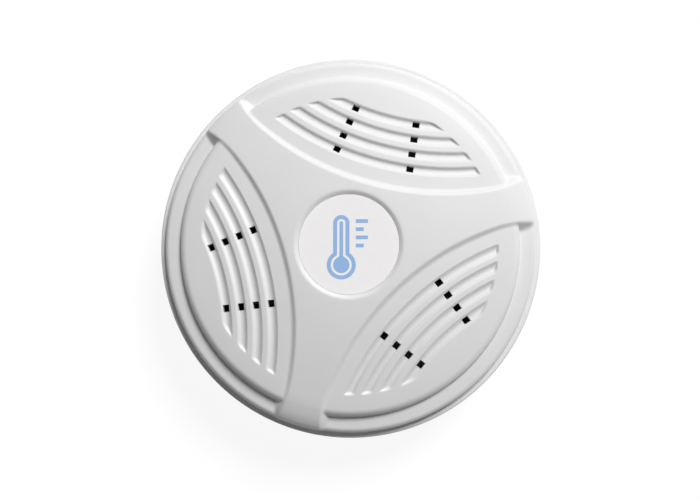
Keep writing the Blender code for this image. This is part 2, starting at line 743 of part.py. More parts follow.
def make_board_screws(finish):
    """Three pan-head screws that hold the board on its posts."""
    tip = PILOT_FLOOR + SCREW_END_ROOM
    top = PART_BOTTOM + SCREW_HEAD_HEIGHT
    half_head = SCREW_HEAD_HEIGHT / 2
    for number, angle in enumerate(POST_ANGLES, start=1):
        spot = on_circle(POST_CIRCLE_RADIUS, angle)
        profile = [
            (0, top),
            (SCREW_HEAD_RADIUS - half_head, top),
            (SCREW_HEAD_RADIUS, top - half_head),
            (SCREW_HEAD_RADIUS, PART_BOTTOM),
            (SCREW_SHANK_RADIUS, PART_BOTTOM),
            (SCREW_SHANK_RADIUS, tip + SCREW_SHANK_RADIUS),
            (0, tip),
        ]
        screw = place("board_screw_%d" % number, turned(profile, SMALL_ROUND_STEPS, spot))
        for turn in (0, pi / 2):
            size = (SCREW_CROSS_LENGTH, SCREW_CROSS_WIDTH, 2 * SCREW_CROSS_DEPTH)
            combine(screw, place("cross", block(size, (*spot, top), angle + turn)), "DIFFERENCE")
        paint(screw, finish)


# Screw terminal

def make_clamp(number, x, low, finish):
    """The brass cage that grips one wire, with its pin through the board."""
    y = clamp_centre_y()
    width = WAY_PITCH - TERMINAL_WALL - 2 * GAP
    middle = (x, y, low + CLAMP_HEIGHT / 2)
    clamp = place("terminal_clamp_%d" % number, block((width, CLAMP_DEPTH, CLAMP_HEIGHT), middle))
    mouth = (width - 2 * CLAMP_WALL, CLAMP_DEPTH * 2, CLAMP_HEIGHT - 2 * CLAMP_WALL)
    combine(clamp, place("mouth", block(mouth, middle)), "DIFFERENCE")
    roof = low + CLAMP_HEIGHT - CLAMP_WALL
    thread = rod(CLAMP_SCREW_RADIUS + GAP, roof - CLAMP_WALL, roof + 2 * CLAMP_WALL, (x, y))
    combine(clamp, place("thread", thread), "DIFFERENCE")
    pin_top = low + CLAMP_WALL / 2
    pin_low = BOARD_BOTTOM - PIN_REACH
    pin = block((PIN_SIDE, PIN_SIDE, pin_top - pin_low), (x, y, (pin_top + pin_low) / 2))
    combine(clamp, place("pin", pin), "UNION")
    paint(clamp, finish)


def make_clamp_screw(number, x, tip, top, finish):
    """The slotted screw that closes one clamp."""
    spot = (x, clamp_centre_y())
    head_low = top - CLAMP_SCREW_HEAD_HEIGHT
    profile = [
        (0, top),
        (CLAMP_SCREW_HEAD_RADIUS, top),
        (CLAMP_SCREW_HEAD_RADIUS, head_low),
        (CLAMP_SCREW_RADIUS, head_low),
        (CLAMP_SCREW_RADIUS, tip),
        (0, tip),
    ]
    screw = place("terminal_screw_%d" % number, turned(profile, SMALL_ROUND_STEPS, spot))
    slot = (4 * CLAMP_SCREW_HEAD_RADIUS, CLAMP_SCREW_SLOT, CLAMP_SCREW_HEAD_HEIGHT)
    combine(screw, place("drive", block(slot, (*spot, top))), "DIFFERENCE")
    paint(screw, finish)


def make_terminal(body_finish, brass_finish, screw_finish):
    """Three-way terminal at the board's lower edge, mouths towards the cable."""
    front = -TERMINAL_FRONT
    top = PART_BOTTOM + TERMINAL_HEIGHT
    size = (TERMINAL_WIDTH, TERMINAL_DEPTH, TERMINAL_HEIGHT)
    shape = block(size, (0, front + TERMINAL_DEPTH / 2, top - TERMINAL_HEIGHT / 2))
    chamfer_top(shape, TERMINAL_WALL)
    body = place("terminal_body", shape)
    y = clamp_centre_y()
    cell_low = PART_BOTTOM + TERMINAL_FLOOR
    cell_depth = CLAMP_INSET + CLAMP_DEPTH + GAP + SINK_IN
    cell_size = (WAY_PITCH - TERMINAL_WALL, cell_depth, CLAMP_HEIGHT + 2 * GAP)
    cell_y = front - SINK_IN + cell_depth / 2
    clamp_low = cell_low + GAP
    clamp_top = clamp_low + CLAMP_HEIGHT
    pin_slot = PIN_SIDE + 2 * GAP
    for index in range(WAY_COUNT):
        x = way_centre_x(index)
        cell = block(cell_size, (x, cell_y, cell_low + cell_size[2] / 2))
        combine(body, place("cell", cell), "DIFFERENCE")
        well = rod(CLAMP_SCREW_HEAD_RADIUS + GAP, clamp_top, top + GAP, (x, y))
        combine(body, place("well", well), "DIFFERENCE")
        slot = block((pin_slot, pin_slot, 4 * TERMINAL_FLOOR), (x, y, PART_BOTTOM))
        combine(body, place("pin_slot", slot), "DIFFERENCE")
        make_clamp(index + 1, x, clamp_low, brass_finish)
        screw_tip = clamp_low + CLAMP_WALL + GAP
        make_clamp_screw(index + 1, x, screw_tip, top - TERMINAL_WALL, screw_finish)
    paint(body, body_finish)


# Temperature sensor

def make_sensor(body_finish, lead_finish):
    """A small moulded sensor on three leads, standing up under the vents."""
    direction = first_panel_direction()
    spot = sensor_place()
    bottom = PART_BOTTOM + LEAD_RISE + GAP
    top = bottom + SENSOR_HEIGHT
    body = place("sensor_body", rod(SENSOR_RADIUS, bottom, top, spot))
    side = 2 * SENSOR_RADIUS
    flat = spot + on_circle(SENSOR_FLAT + side / 2, direction)
    shape = block((side, 2 * side, 2 * SENSOR_HEIGHT), (*flat, (top + bottom) / 2), direction)
    combine(body, place("flat", shape), "DIFFERENCE")
    paint(body, body_finish)
    lead_top = bottom - GAP
    lead_low = BOARD_BOTTOM - PIN_REACH
    for number, lead in enumerate(lead_places(), start=1):
        size = (LEAD_SIDE, LEAD_SIDE, lead_top - lead_low)
        shape = block(size, (*lead, (lead_top + lead_low) / 2), direction)
        place("sensor_lead_%d" % number, shape, lead_finish)


# Surface-mounted parts

def chip_block(name, spot, size, finish, edge=0.0):
    """A small part that lies flat on the board."""
    shape = block(size, (*spot, PART_BOTTOM + size[2] / 2))
    if edge:
        chamfer_top(shape, edge)
    return place(name, shape, finish)


def make_can(foot_finish, can_finish):
    """The can capacitor on its square foot."""
    foot = (CAN_FOOT_SIDE, CAN_FOOT_SIDE, CAN_FOOT_HEIGHT)
    chip_block("capacitor_foot", (CAN_X, CAN_Y), foot, foot_finish, CAN_FOOT_EDGE)
    low = PART_BOTTOM + CAN_FOOT_HEIGHT + GAP
    top = low + CAN_HEIGHT
    profile = [
        (0, top),
        (CAN_RADIUS - CAN_EDGE, top),
        (CAN_RADIUS, top - CAN_EDGE),
        (CAN_RADIUS, low),
        (0, low),
    ]
    can = turned(profile, SMALL_ROUND_STEPS, (CAN_X, CAN_Y))
    smooth(place("capacitor_can", can, can_finish))


def make_surface_parts(black, ceramic, metal):
    """Controller, regulator, ceramic capacitors, resistors and diode."""
    chip = (CHIP_SIDE, CHIP_SIDE, CHIP_HEIGHT)
    chip_block("controller_chip", (CHIP_X, CHIP_Y), chip, black, CHIP_EDGE)
    regulator = (REGULATOR_WIDTH, REGULATOR_LENGTH, REGULATOR_HEIGHT)
    chip_block("regulator_body", (REGULATOR_X, REGULATOR_Y), regulator, black, REGULATOR_EDGE)
    tab_y = REGULATOR_Y + REGULATOR_LENGTH / 2 + GAP + TAB_LENGTH / 2
    tab = (TAB_WIDTH, TAB_LENGTH, TAB_HEIGHT)
    chip_block("regulator_tab", (REGULATOR_X, tab_y), tab, metal)
    diode = (DIODE_WIDTH, DIODE_LENGTH, DIODE_HEIGHT)
    chip_block("protection_diode", (DIODE_X, DIODE_Y), diode, black, DIODE_EDGE)
    size = (CERAMIC_WIDTH, CERAMIC_LENGTH, CERAMIC_HEIGHT)
    chip_block("ceramic_capacitor_1", (FIRST_CERAMIC_X, FIRST_CERAMIC_Y), size, ceramic)
    chip_block("ceramic_capacitor_2", (SECOND_CERAMIC_X, SECOND_CERAMIC_Y), size, ceramic)
    size = (RESISTOR_WIDTH, RESISTOR_LENGTH, RESISTOR_HEIGHT)
    for index in range(RESISTOR_COUNT):
        x = (index - (RESISTOR_COUNT - 1) / 2) * RESISTOR_PITCH
        chip_block("resistor_%d" % (index + 1), (x, RESISTOR_ROW_Y), size, black)


def build():
    """Make every piece of the sensor."""
    clear_scene()
    white_abs = material("white_abs", "DEDEDF", 0.35)
    label_film = material("label_film", "EDEBEC", 0.45)
    board_green = material("board_laminate", "1F5A3A", 0.5)
    steel = material("plated_steel", "B9BBBD", 0.35, 1.0)
    brass = material("nickelled_brass", "C9BE98", 0.35, 1.0)
    terminal_green = material("terminal_polyamide", "2E6F4E", 0.5)
    black_epoxy = material("moulded_epoxy", "1C1C1E", 0.5)
    ceramic = material("capacitor_ceramic", "B08E62", 0.55)
    can_aluminium = material("can_aluminium", "C6C8CA", 0.3, 1.0)
    make_front_cover(white_abs)
    make_rear_base(white_abs)
    make_badge_disc(label_film)
    make_circuit_board(board_green)
    make_board_screws(steel)
    make_terminal(terminal_green, brass, steel)
    make_sensor(black_epoxy, steel)
    make_can(black_epoxy, can_aluminium)
    make_surface_parts(black_epoxy, ceramic, steel)


build()
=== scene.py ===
from math import asin, cos, pi, radians, sin, tan

import bmesh
import bpy
import numpy as np
from mathutils import Matrix, Vector


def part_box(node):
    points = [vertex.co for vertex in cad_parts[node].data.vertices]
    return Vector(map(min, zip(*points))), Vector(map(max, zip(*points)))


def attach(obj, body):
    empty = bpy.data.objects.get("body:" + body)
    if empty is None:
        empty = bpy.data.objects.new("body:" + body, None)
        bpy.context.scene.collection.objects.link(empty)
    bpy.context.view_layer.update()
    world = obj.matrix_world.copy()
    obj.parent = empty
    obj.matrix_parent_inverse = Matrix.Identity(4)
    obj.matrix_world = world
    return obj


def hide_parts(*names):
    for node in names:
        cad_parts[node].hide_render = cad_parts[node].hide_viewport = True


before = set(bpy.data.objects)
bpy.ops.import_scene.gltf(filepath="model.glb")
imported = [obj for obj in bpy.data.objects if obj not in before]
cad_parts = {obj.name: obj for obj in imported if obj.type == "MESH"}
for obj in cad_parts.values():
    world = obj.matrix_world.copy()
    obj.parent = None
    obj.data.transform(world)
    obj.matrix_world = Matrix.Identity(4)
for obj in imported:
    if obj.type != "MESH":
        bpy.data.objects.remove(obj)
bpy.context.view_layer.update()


# Front cover
# One injection moulding in white ABS from a polished tool, so it is satin-glossy all over.
# A crowned web with three arms stands over three sunk panels; their curved grooves carry the vents.
# A skirt with three springy catches drops into the rear base and holds the cover.
MM = 0.001

# Body of the moulding and the seat of the badge
COVER_RADIUS = 40.85 * MM
COVER_EDGE = 0.8 * MM
APEX_HEIGHT = 24.425 * MM
DOME_RADIUS = 178.0 * MM
SHOULDER_START = 34.0 * MM
SHOULDER_RADIUS = 24.0 * MM
RIM_START = 38.0 * MM
RIM_ROLL = 9.0 * MM
RIM_ROLL_WIDTH = 3.0 * MM
SEAT_TOP_RADIUS = 11.9 * MM
SEAT_ROUND = 1.25 * MM
SEAT_SLOPE = radians(30)
SEAT_WALL_RADIUS = 10.8 * MM
SEAT_FLOOR = 23.2 * MM
SEAT_RING = 5.0 * MM
SEAT_MARGIN = 12.5 * MM
SKIRT_END = 14.185 * MM
SKIRT_INNER_RADIUS = 39.2 * MM
LEDGE_UNDERSIDE = 16.485 * MM
CEILING_RADIUS = 35.5 * MM
FRONT_WALL = 2.6 * MM

# Sunk panels: their inner edge and the grooves are arcs about a point outside the rim
LENS_CENTRE = 78.5 * MM
LENS_EDGE = 64.85 * MM
FLARE_RADII = (0, 14, 20, 27, 32, 34, 36, 38, 39.5, 41, 43)
FLARE_WIDTHS = (0, 0.0, 0.08, 0.3, 0.48, 0.58, 0.8, 1.15, 1.42, 1.7, 2.0)
FLARE_START = 61.5 * MM
FLARE_BLEND = 2.5 * MM
WALL_STEEPNESS = 1.09
EDGE_SOFTNESS = 0.4 * MM
FOOT_SOFTNESS = 0.55 * MM
PANEL_SINK = 0.7 * MM
SINK_RADII = (0, 22, 28, 31, 34, 36.5, 43)
SINK_SHARES = (1.0, 1.0, 0.92, 0.82, 0.66, 0.58, 0.58)
PANEL_EDGE = 1.9 * MM
PANEL_EDGE_TURN = radians(87)
PANEL_WALL_CENTRE = 35.27 * MM
LEDGE_START = 37.17 * MM
LEDGE_LEVEL = -6.15 * MM
LEDGE_FALL = 0.3 * MM
LEDGE_EDGE = 1.25 * MM
LEDGE_FOOT = 0.25 * MM

# Grooves and the vents in them
FIRST_GROOVE = 59.75 * MM
GROOVE_PITCH = 3.32 * MM
GROOVE_COUNT = 4
GROOVE_OUTER_EDGE = 1.03 * MM
GROOVE_OUTER_WIDTH = 0.66 * MM
GROOVE_HUB_EDGE = 1.12 * MM
GROOVE_HUB_WIDTH = 1.0 * MM
GROOVE_HUB_CURVE = 1.6
GROOVE_END_WIDTH = 0.45 * MM
GROOVE_SOFTNESS = 0.36
GROOVE_DEPTH = 0.54 * MM
GROOVE_END = 32.3 * MM
VENT_ANGLE = radians(7.88)
VENT_SIZE = (1.36 * MM, 1.56 * MM)
VENT_BAR = 12.0 * MM
VENT_LEVEL = 20.0 * MM
FIRST_ARM = radians(14.15)
THIRD = 2 * pi / 3

# Catches under the skirt, and the overlap and tolerance that joins and selections need
TONGUE_INNER = 37.7 * MM
TONGUE_TIP = 6.0 * MM
TONGUE_HALF_SWEEP = radians(6.59)
NOSE_RADIUS = 40.9 * MM
NOSE_FRONT = 8.0 * MM
NOSE_TOP = 9.0 * MM
ROOT = 0.4 * MM
TOUCH = 0.01 * MM


def deselect():
    """Leave edit mode and select nothing."""
    if bpy.context.object and bpy.context.object.mode != "OBJECT":
        bpy.ops.object.mode_set(mode="OBJECT")
    bpy.ops.object.select_all(action="DESELECT")


def select_parts(piece, kind, test):
    """In edit mode, select the corners, edges or faces (VERT, EDGE, FACE) that pass a test."""
    bpy.ops.mesh.select_all(action="DESELECT")
    bpy.ops.mesh.select_mode(type=kind)
    shape = bmesh.from_edit_mesh(piece.data)
    for part in {"VERT": shape.verts, "EDGE": shape.edges, "FACE": shape.faces}[kind]:
        part.select_set(bool(test(part)))
    bmesh.update_edit_mesh(piece.data)


def soft_max(first, second, width):
    """The larger of two values, rounded where they cross."""
    blend = np.maximum(width - np.abs(first - second), 0) / width
    return np.maximum(first, second) + blend ** 2 * width / 4


def soft_min(first, second, width):
    """The smaller of two values, rounded where they cross."""
    return -soft_max(-first, -second, width)


def soft_ramp(value):
    """Rises from 0 to 1 with a rounded foot and a rounded shoulder."""
    return soft_min(soft_max(value, 0.0, GROOVE_SOFTNESS), 1.0, GROOVE_SOFTNESS)


def dome_drop(radius):
    """Depth of the wide dome below its apex."""
    return DOME_RADIUS - np.sqrt(DOME_RADIUS ** 2 - radius ** 2)


def web_level(radius):
    """Level of the web: dome, tighter shoulder, tighter roll to the rim and rounded rim."""
    start = asin(SHOULDER_START / DOME_RADIUS)
    beyond = np.clip(radius - SHOULDER_START, 0, RIM_START - SHOULDER_START)
    turn = np.arcsin(sin(start) + beyond / SHOULDER_RADIUS)
    drop = dome_drop(np.minimum(radius, SHOULDER_START))
    drop = drop + SHOULDER_RADIUS * (cos(start) - np.cos(turn))
    rolled = np.arcsin(np.sin(turn) + np.clip(radius - RIM_START, 0, RIM_ROLL_WIDTH) / RIM_ROLL)
    drop = drop + RIM_ROLL * (np.cos(turn) - np.cos(rolled))
    past_edge = np.clip(radius - COVER_RADIUS + COVER_EDGE, 0, COVER_EDGE)
    return -drop - COVER_EDGE + np.sqrt(COVER_EDGE ** 2 - past_edge ** 2)


def panel_sink(radius):
    """How far a panel lies below the dome; it rises a little towards the rim."""
    return PANEL_SINK * np.interp(radius, np.array(SINK_RADII) * MM, SINK_SHARES)


def panel_profile():
    """Radii and levels of a panel's wall, the ledge round it and the ledge's edge."""
    slope = asin(PANEL_WALL_CENTRE / DOME_RADIUS)
    top_radius = PANEL_WALL_CENTRE + PANEL_EDGE * sin(slope)
    centre = -dome_drop(top_radius) - float(panel_sink(top_radius)) - PANEL_EDGE * cos(slope)
    points = []
    for angle in np.linspace(slope, PANEL_EDGE_TURN, 8):
        points.append((PANEL_WALL_CENTRE + PANEL_EDGE * sin(angle),
                       centre + PANEL_EDGE * cos(angle)))
    for angle in np.linspace(0, pi / 2, 5):
        radius = LEDGE_START + LEDGE_FOOT * (1 - cos(angle))
        points.append((radius, LEDGE_LEVEL + LEDGE_FOOT * (1 - sin(angle))))
    edge_start = COVER_RADIUS - LEDGE_EDGE
    for share in (0.25, 0.5, 0.75):
        radius = LEDGE_START + LEDGE_FOOT + share * (edge_start - LEDGE_START - LEDGE_FOOT)
        points.append((radius, LEDGE_LEVEL - LEDGE_FALL * share))
    for angle in np.linspace(0, pi / 2, 8):
        level = LEDGE_LEVEL - LEDGE_FALL - LEDGE_EDGE * (1 - cos(angle))
        points.append((edge_start + LEDGE_EDGE * sin(angle), level))
    return points


panel_radii, panel_levels = np.array(panel_profile()).T


def flare(radius):
    """How far the web's edges draw apart again towards the rim."""
    return np.interp(radius, np.array(FLARE_RADII) * MM, np.array(FLARE_WIDTHS) * MM)


def front_height(out, across):
    """Height of the front at a place given along and across one panel's axis."""
    radius = np.hypot(out, across)
    reach = np.hypot(LENS_CENTRE - out, across)
    on_dome = -dome_drop(radius) - panel_sink(radius)
    panel = np.where(radius < panel_radii[0], on_dome, np.interp(radius, panel_radii, panel_levels))
    web = web_level(radius)
    wall = soft_max(WALL_STEEPNESS * (LENS_EDGE - flare(radius) - reach), 0.0, EDGE_SOFTNESS)
    level = web - soft_min(wall, web - panel, FOOT_SOFTNESS)
    inside = soft_ramp((GROOVE_END - radius) / GROOVE_END_WIDTH)
    for index in range(GROOVE_COUNT):
        off_centre = reach - FIRST_GROOVE + GROOVE_PITCH * index
        outer_wall = soft_ramp((GROOVE_OUTER_EDGE + off_centre) / GROOVE_OUTER_WIDTH)
        past_wall = np.clip(1 - (GROOVE_HUB_EDGE - off_centre) / GROOVE_HUB_WIDTH, 0, 1)
        hub_wall = 1 - past_wall ** GROOVE_HUB_CURVE
        level = level - GROOVE_DEPTH * inside * np.minimum(outer_wall, hub_wall)
    return APEX_HEIGHT + level


def lay_net(name, out, across):
    """A grid laid on the front, its corners given along and across the panel's axis."""
    rows, columns = out.shape
    deselect()
    bpy.ops.mesh.primitive_grid_add(x_subdivisions=columns - 1, y_subdivisions=rows - 1)
    net = bpy.context.object
    net.name = name
    places = np.stack([out, across, front_height(out, across)], axis=-1)
    net.data.vertices.foreach_set("co", places.astype(np.float32).ravel())
    net.data.update()
    return net


def lens_angle(reach, radius):
    """Angle at the lens centre between the panel's axis and a point at these two distances."""
    share = (LENS_CENTRE ** 2 + reach ** 2 - radius ** 2) / (2 * LENS_CENTRE * reach)
    return np.arccos(np.clip(share, -1, 1))


def hub_angle(reach, radius):
    """The same angle, seen from the middle of the cover."""
    share = (LENS_CENTRE ** 2 + radius ** 2 - reach ** 2) / (2 * LENS_CENTRE * radius)
    return np.arccos(np.clip(share, -1, 1))


def bend(reach, radius):
    """A line's distance from the lens centre, drawn in by the flare near the web's edge."""
    share = np.clip((reach - FLARE_START) / FLARE_BLEND, 0, 1)
    return reach - share * flare(radius)


# The front is laid out as nets whose lines follow its edges. The first is the field with the
# grooves: its lines run along them, from the web's edge to the tip. They are given in mm from the
# lens centre and stand closer together where the front bends
wall_lines = [65.3, 65.15, 65.0, 64.9, 64.8, 64.7, 64.6, 64.5, 64.4, 64.3, 64.2, 64.1, 64.0,
              63.88, 63.75, 63.6, 63.3, 63.0, 62.7, 62.4, 62.1, 61.8, 61.5]
groove_lines = [1.3, 1.2, 1.1, 1.0, 0.9, 0.8, 0.65, 0.55, 0.47, 0.4, 0.3, 0.15, 0.0]
groove_lines += [-step for step in reversed(groove_lines[:-1])]
tip_lines = [48.0, 47.5, 47.0, 46.6, 46.3]
lines = [line * MM for line in wall_lines]
for index in range(GROOVE_COUNT):
    lines += [FIRST_GROOVE - GROOVE_PITCH * index + step * MM for step in groove_lines]
lines += [line * MM for line in tip_lines]
lines = np.array(lines)
FIELD_RADIUS = 32.6 * MM
FIELD_COLUMNS = 45
TIP_WIDTH = 2.5 * MM
BEND_ROUNDS = 12
end_depths = np.array([0, 0.1, 0.2, 0.3, 0.4, 0.5, 0.65, 0.8, 0.9, 1.0, 1.1, 1.25]) * MM
field_angles = []
field_reaches = []
for reach in lines:
    squeeze = min(1.0, (FIELD_RADIUS - LENS_CENTRE + reach) / TIP_WIDTH)
    end_radii = FIELD_RADIUS - end_depths * squeeze
    end = lens_angle(bend(reach, end_radii), end_radii)
    middle = np.linspace(end[-1], -end[-1], FIELD_COLUMNS)[1:-1]
    angles = np.concatenate([end, middle, -end[::-1]])
    bent = np.full(len(angles), reach)
    for step in range(BEND_ROUNDS):
        bent = bend(reach, np.hypot(LENS_CENTRE - bent * np.cos(angles), bent * np.sin(angles)))
    field_angles.append(-angles)
    field_reaches.append(bent)
field_out = LENS_CENTRE - np.array(field_reaches) * np.cos(field_angles)
field_across = np.array(field_reaches) * np.sin(field_angles)

# The second is the ring between the field and the cover's edge: margin and wall of the panel,
# ledge and edge
MARGIN_RADII = (33.2, 33.9, 34.6, 35.2, 35.6)
ring_radii = np.concatenate([np.array(MARGIN_RADII) * MM, panel_radii])
follow = lines >= FLARE_START
start_out = np.concatenate([field_out[:-1, 0], field_out[-1], field_out[:-1, -1][::-1]])
start_across = np.concatenate([field_across[:-1, 0], field_across[-1], field_across[:-1, -1][::-1]])
start_angle = np.arctan2(start_across, start_out)
ring_out = [start_out]
ring_across = [start_across]
last_wall_line = lines[follow][-1]
for radius in ring_radii:
    spread = hub_angle(last_wall_line, radius) / hub_angle(last_wall_line, FIELD_RADIUS)
    angle = start_angle * spread
    wall_angle = hub_angle(bend(lines[follow], radius), radius)
    angle[:len(wall_angle)] = -wall_angle
    angle[-len(wall_angle):] = wall_angle[::-1]
    ring_out.append(radius * np.cos(angle))
    ring_across.append(radius * np.sin(angle))
ring_out = np.array(ring_out)
ring_across = np.array(ring_across)

# The third is half an arm of the web: rows outwards from the badge seat, each from the panel's
# edge to the middle of the arm
ARM_COLUMNS = 41
middle = field_out.shape[1] // 2
edge_out = np.concatenate([field_out[0, middle:], ring_out[1:, -1]])
edge_across = np.concatenate([field_across[0, middle:], ring_across[1:, -1]])
seat_rows = np.array([SEAT_TOP_RADIUS, SEAT_MARGIN])
web_radii = np.concatenate([seat_rows, np.hypot(edge_out, edge_across)])[:, None]
web_starts = np.concatenate([[0, 0], np.arctan2(edge_across, edge_out)])[:, None]
web_angles = web_starts + (pi / 3 - web_starts) * np.linspace(0, 1, ARM_COLUMNS)
web_out = web_radii * np.cos(web_angles)
web_across = web_radii * np.sin(web_angles)

# A third of the front is joined from its nets, copied to the other two and merged along the seams
SEAM = 0.002 * MM
nets = [lay_net("field", field_out, field_across), lay_net("ring", ring_out, ring_across)]
nets += [lay_net("web_side", web_out, web_across), lay_net("web_side", web_out, -web_across)]
deselect()
for net in nets:
    net.select_set(True)
bpy.context.view_layer.objects.active = nets[0]
bpy.ops.object.join()
cover = bpy.context.object
cover.name = "cover_moulding"
bpy.ops.object.mode_set(mode="EDIT")
bpy.ops.mesh.select_all(action="SELECT")
bpy.ops.transform.rotate(value=-(FIRST_ARM + THIRD / 2), orient_axis="Z", center_override=(0, 0, 0))
for copy in range(2):
    bpy.ops.mesh.duplicate()
    bpy.ops.transform.rotate(value=THIRD, orient_axis="Z", center_override=(0, 0, 0))
bpy.ops.mesh.select_all(action="SELECT")
bpy.ops.mesh.remove_doubles(threshold=SEAM)


def select_ring(piece, radius, slack=0.05 * MM):
    """Select the open edge whose corners all lie at one radius."""
    def on_ring(edge):
        at_radius = all(abs(corner.co.xy.length - radius) < slack for corner in edge.verts)
        return edge.is_boundary and at_radius

    select_parts(piece, "EDGE", on_ring)


def draw_loops(start_radius, path):
    """Extrude the selected ring through a path of (radius, height)."""
    radius = start_radius
    for next_radius, height in path:
        bpy.ops.mesh.extrude_region_move()
        scale = next_radius / radius
        bpy.ops.transform.resize(value=(scale, scale, 0), center_override=(0, 0, height))
        radius = next_radius


def close_loop():
    """Close the selected ring in its middle."""
    bpy.ops.mesh.extrude_region_move()
    bpy.ops.mesh.merge(type="CENTER")


# From the front's edge down the skirt, up inside it and across the domed ceiling
select_ring(cover, COVER_RADIUS)
ceiling_radii = [share * CEILING_RADIUS for share in (1.0, 0.85, 0.7, 0.55, 0.4, 0.25, 0.1)]
ceiling = [(radius, APEX_HEIGHT - FRONT_WALL - float(dome_drop(radius)))
           for radius in ceiling_radii]
skirt = [
    (COVER_RADIUS, SKIRT_END),
    (SKIRT_INNER_RADIUS, SKIRT_END),
    (SKIRT_INNER_RADIUS, LEDGE_UNDERSIDE),
    (CEILING_RADIUS, LEDGE_UNDERSIDE),
]
draw_loops(COVER_RADIUS, skirt + ceiling)
close_loop()

# The badge's seat: a rounded edge, a cone, a short wall and a flat floor
select_ring(cover, SEAT_TOP_RADIUS)
seat_top = APEX_HEIGHT - float(dome_drop(SEAT_TOP_RADIUS))
turns = [SEAT_SLOPE * share for share in (0.15, 0.3, 0.45, 0.6, 0.75, 0.9, 1.0)]
seat = [(SEAT_TOP_RADIUS - SEAT_ROUND * sin(turn), seat_top - SEAT_ROUND * (1 - cos(turn)))
        for turn in turns]
cone_fall = (seat[-1][0] - SEAT_WALL_RADIUS) * tan(SEAT_SLOPE)
seat += [
    (SEAT_WALL_RADIUS, seat[-1][1] - cone_fall),
    (SEAT_WALL_RADIUS, SEAT_FLOOR),
    (SEAT_RING, SEAT_FLOOR),
]
draw_loops(SEAT_TOP_RADIUS, seat)
close_loop()
bpy.ops.mesh.select_all(action="SELECT")
bpy.ops.mesh.normals_make_consistent(inside=False)
bpy.ops.object.mode_set(mode="OBJECT")


def combine(piece, tool, operation):
    """Cut a closed tool out of a closed piece or join it on, and use the tool up."""
    deselect()
    bpy.context.view_layer.objects.active = piece
    piece.select_set(True)
    modifier = piece.modifiers.new("combine", "BOOLEAN")
    modifier.operation = operation
    modifier.solver = "EXACT"
    modifier.object = tool
    bpy.ops.object.modifier_apply(modifier=modifier.name)
    bpy.data.objects.remove(tool)


# The vents are rectangular holes through the groove floors
deselect()
vents = None
for third in range(3):
    axis = FIRST_ARM + THIRD * (third + 0.5)
    for index in range(GROOVE_COUNT):
        for side in (-VENT_ANGLE, VENT_ANGLE):
            reach = FIRST_GROOVE - GROOVE_PITCH * index
            out = LENS_CENTRE - reach * cos(side)
            across = reach * sin(side)
            place = Matrix.Rotation(axis, 4, "Z") @ Vector((out, across, VENT_LEVEL))
            bpy.ops.mesh.primitive_cube_add(size=1, location=place, rotation=(0, 0, axis - side))
            hole = bpy.context.object
            hole.scale = (*VENT_SIZE, VENT_BAR)
            bpy.ops.object.transform_apply(location=True, rotation=True, scale=True)
            if vents:
                vents.select_set(True)
                bpy.context.view_layer.objects.active = vents
                bpy.ops.object.join()
            vents = bpy.context.object
            deselect()
combine(cover, vents, "DIFFERENCE")


def spun_bar(corners, direction, half_sweep):
    """A closed bar: its section, given as (radius, height) corners, spun about the middle axis."""
    deselect()
    bpy.ops.mesh.primitive_circle_add(vertices=len(corners), fill_type="NGON", enter_editmode=True)
    bar = bpy.context.object
    start = direction - half_sweep
    shape = bmesh.from_edit_mesh(bar.data)
    for corner, (radius, height) in zip(shape.verts, corners):
        corner.co = (radius * cos(start), radius * sin(start), height)
    bmesh.update_edit_mesh(bar.data)
    bpy.ops.mesh.select_all(action="SELECT")
    bpy.ops.mesh.spin(steps=10, angle=2 * half_sweep, center=(0, 0, 0), axis=(0, 0, 1))
    bpy.ops.mesh.select_all(action="SELECT")
    bpy.ops.mesh.normals_make_consistent(inside=False)
    bpy.ops.object.mode_set(mode="OBJECT")
    return bar


# Each catch is a tongue below the skirt with a nose that snaps into the base
tongue = [
    (TONGUE_INNER, TONGUE_TIP),
    (SKIRT_INNER_RADIUS, TONGUE_TIP),
    (NOSE_RADIUS, NOSE_FRONT),
    (NOSE_RADIUS, NOSE_TOP),
    (SKIRT_INNER_RADIUS, NOSE_TOP),
    (SKIRT_INNER_RADIUS, SKIRT_END),
    (SKIRT_INNER_RADIUS + ROOT, SKIRT_END + ROOT),
    (SKIRT_INNER_RADIUS + ROOT, LEDGE_UNDERSIDE + ROOT),
    (TONGUE_INNER, LEDGE_UNDERSIDE + ROOT),
]
for arm in range(3):
    combine(cover, spun_bar(tongue, FIRST_ARM + THIRD * arm, TONGUE_HALF_SWEEP), "UNION")


def finish_shading(piece, angle=32):
    """Shade round faces smooth and keep true edges crisp."""
    deselect()
    bpy.context.view_layer.objects.active = piece
    piece.select_set(True)
    bpy.ops.object.shade_smooth_by_angle(angle=radians(angle))


finish_shading(cover, angle=38)


def linear(hex_colour):
    """Turn an sRGB hex colour into the linear values that a node takes."""
    channels = [int(hex_colour[i:i + 2], 16) / 255 for i in (0, 2, 4)]
    return [c / 12.92 if c <= 0.04045 else ((c + 0.055) / 1.055) ** 2.4 for c in channels] + [1.0]


def add_node(tree, kind, links=None, **settings):
    """Add a node, set its settings or sockets, and link sockets from other nodes."""
    node = tree.nodes.new(kind)
    for name, value in settings.items():
        setattr(node, name, value)
    for socket, source in (links or {}).items():
        if isinstance(source, bpy.types.NodeSocket):
            tree.links.new(source, node.inputs[socket])
        else:
            node.inputs[socket].default_value = source
    return node


def new_material(name):
    """A material with only an output, and the Object coordinates all its patterns read."""
    material = bpy.data.materials.new(name)
    material.use_nodes = True
    tree = material.node_tree
    tree.nodes.clear()
    coordinates = add_node(tree, "ShaderNodeTexCoord").outputs["Object"]
    return material, tree, coordinates


def finish_material(tree, shader):
    """Send the shader to the material's output."""
    add_node(tree, "ShaderNodeOutputMaterial", {"Surface": shader.outputs[0]})


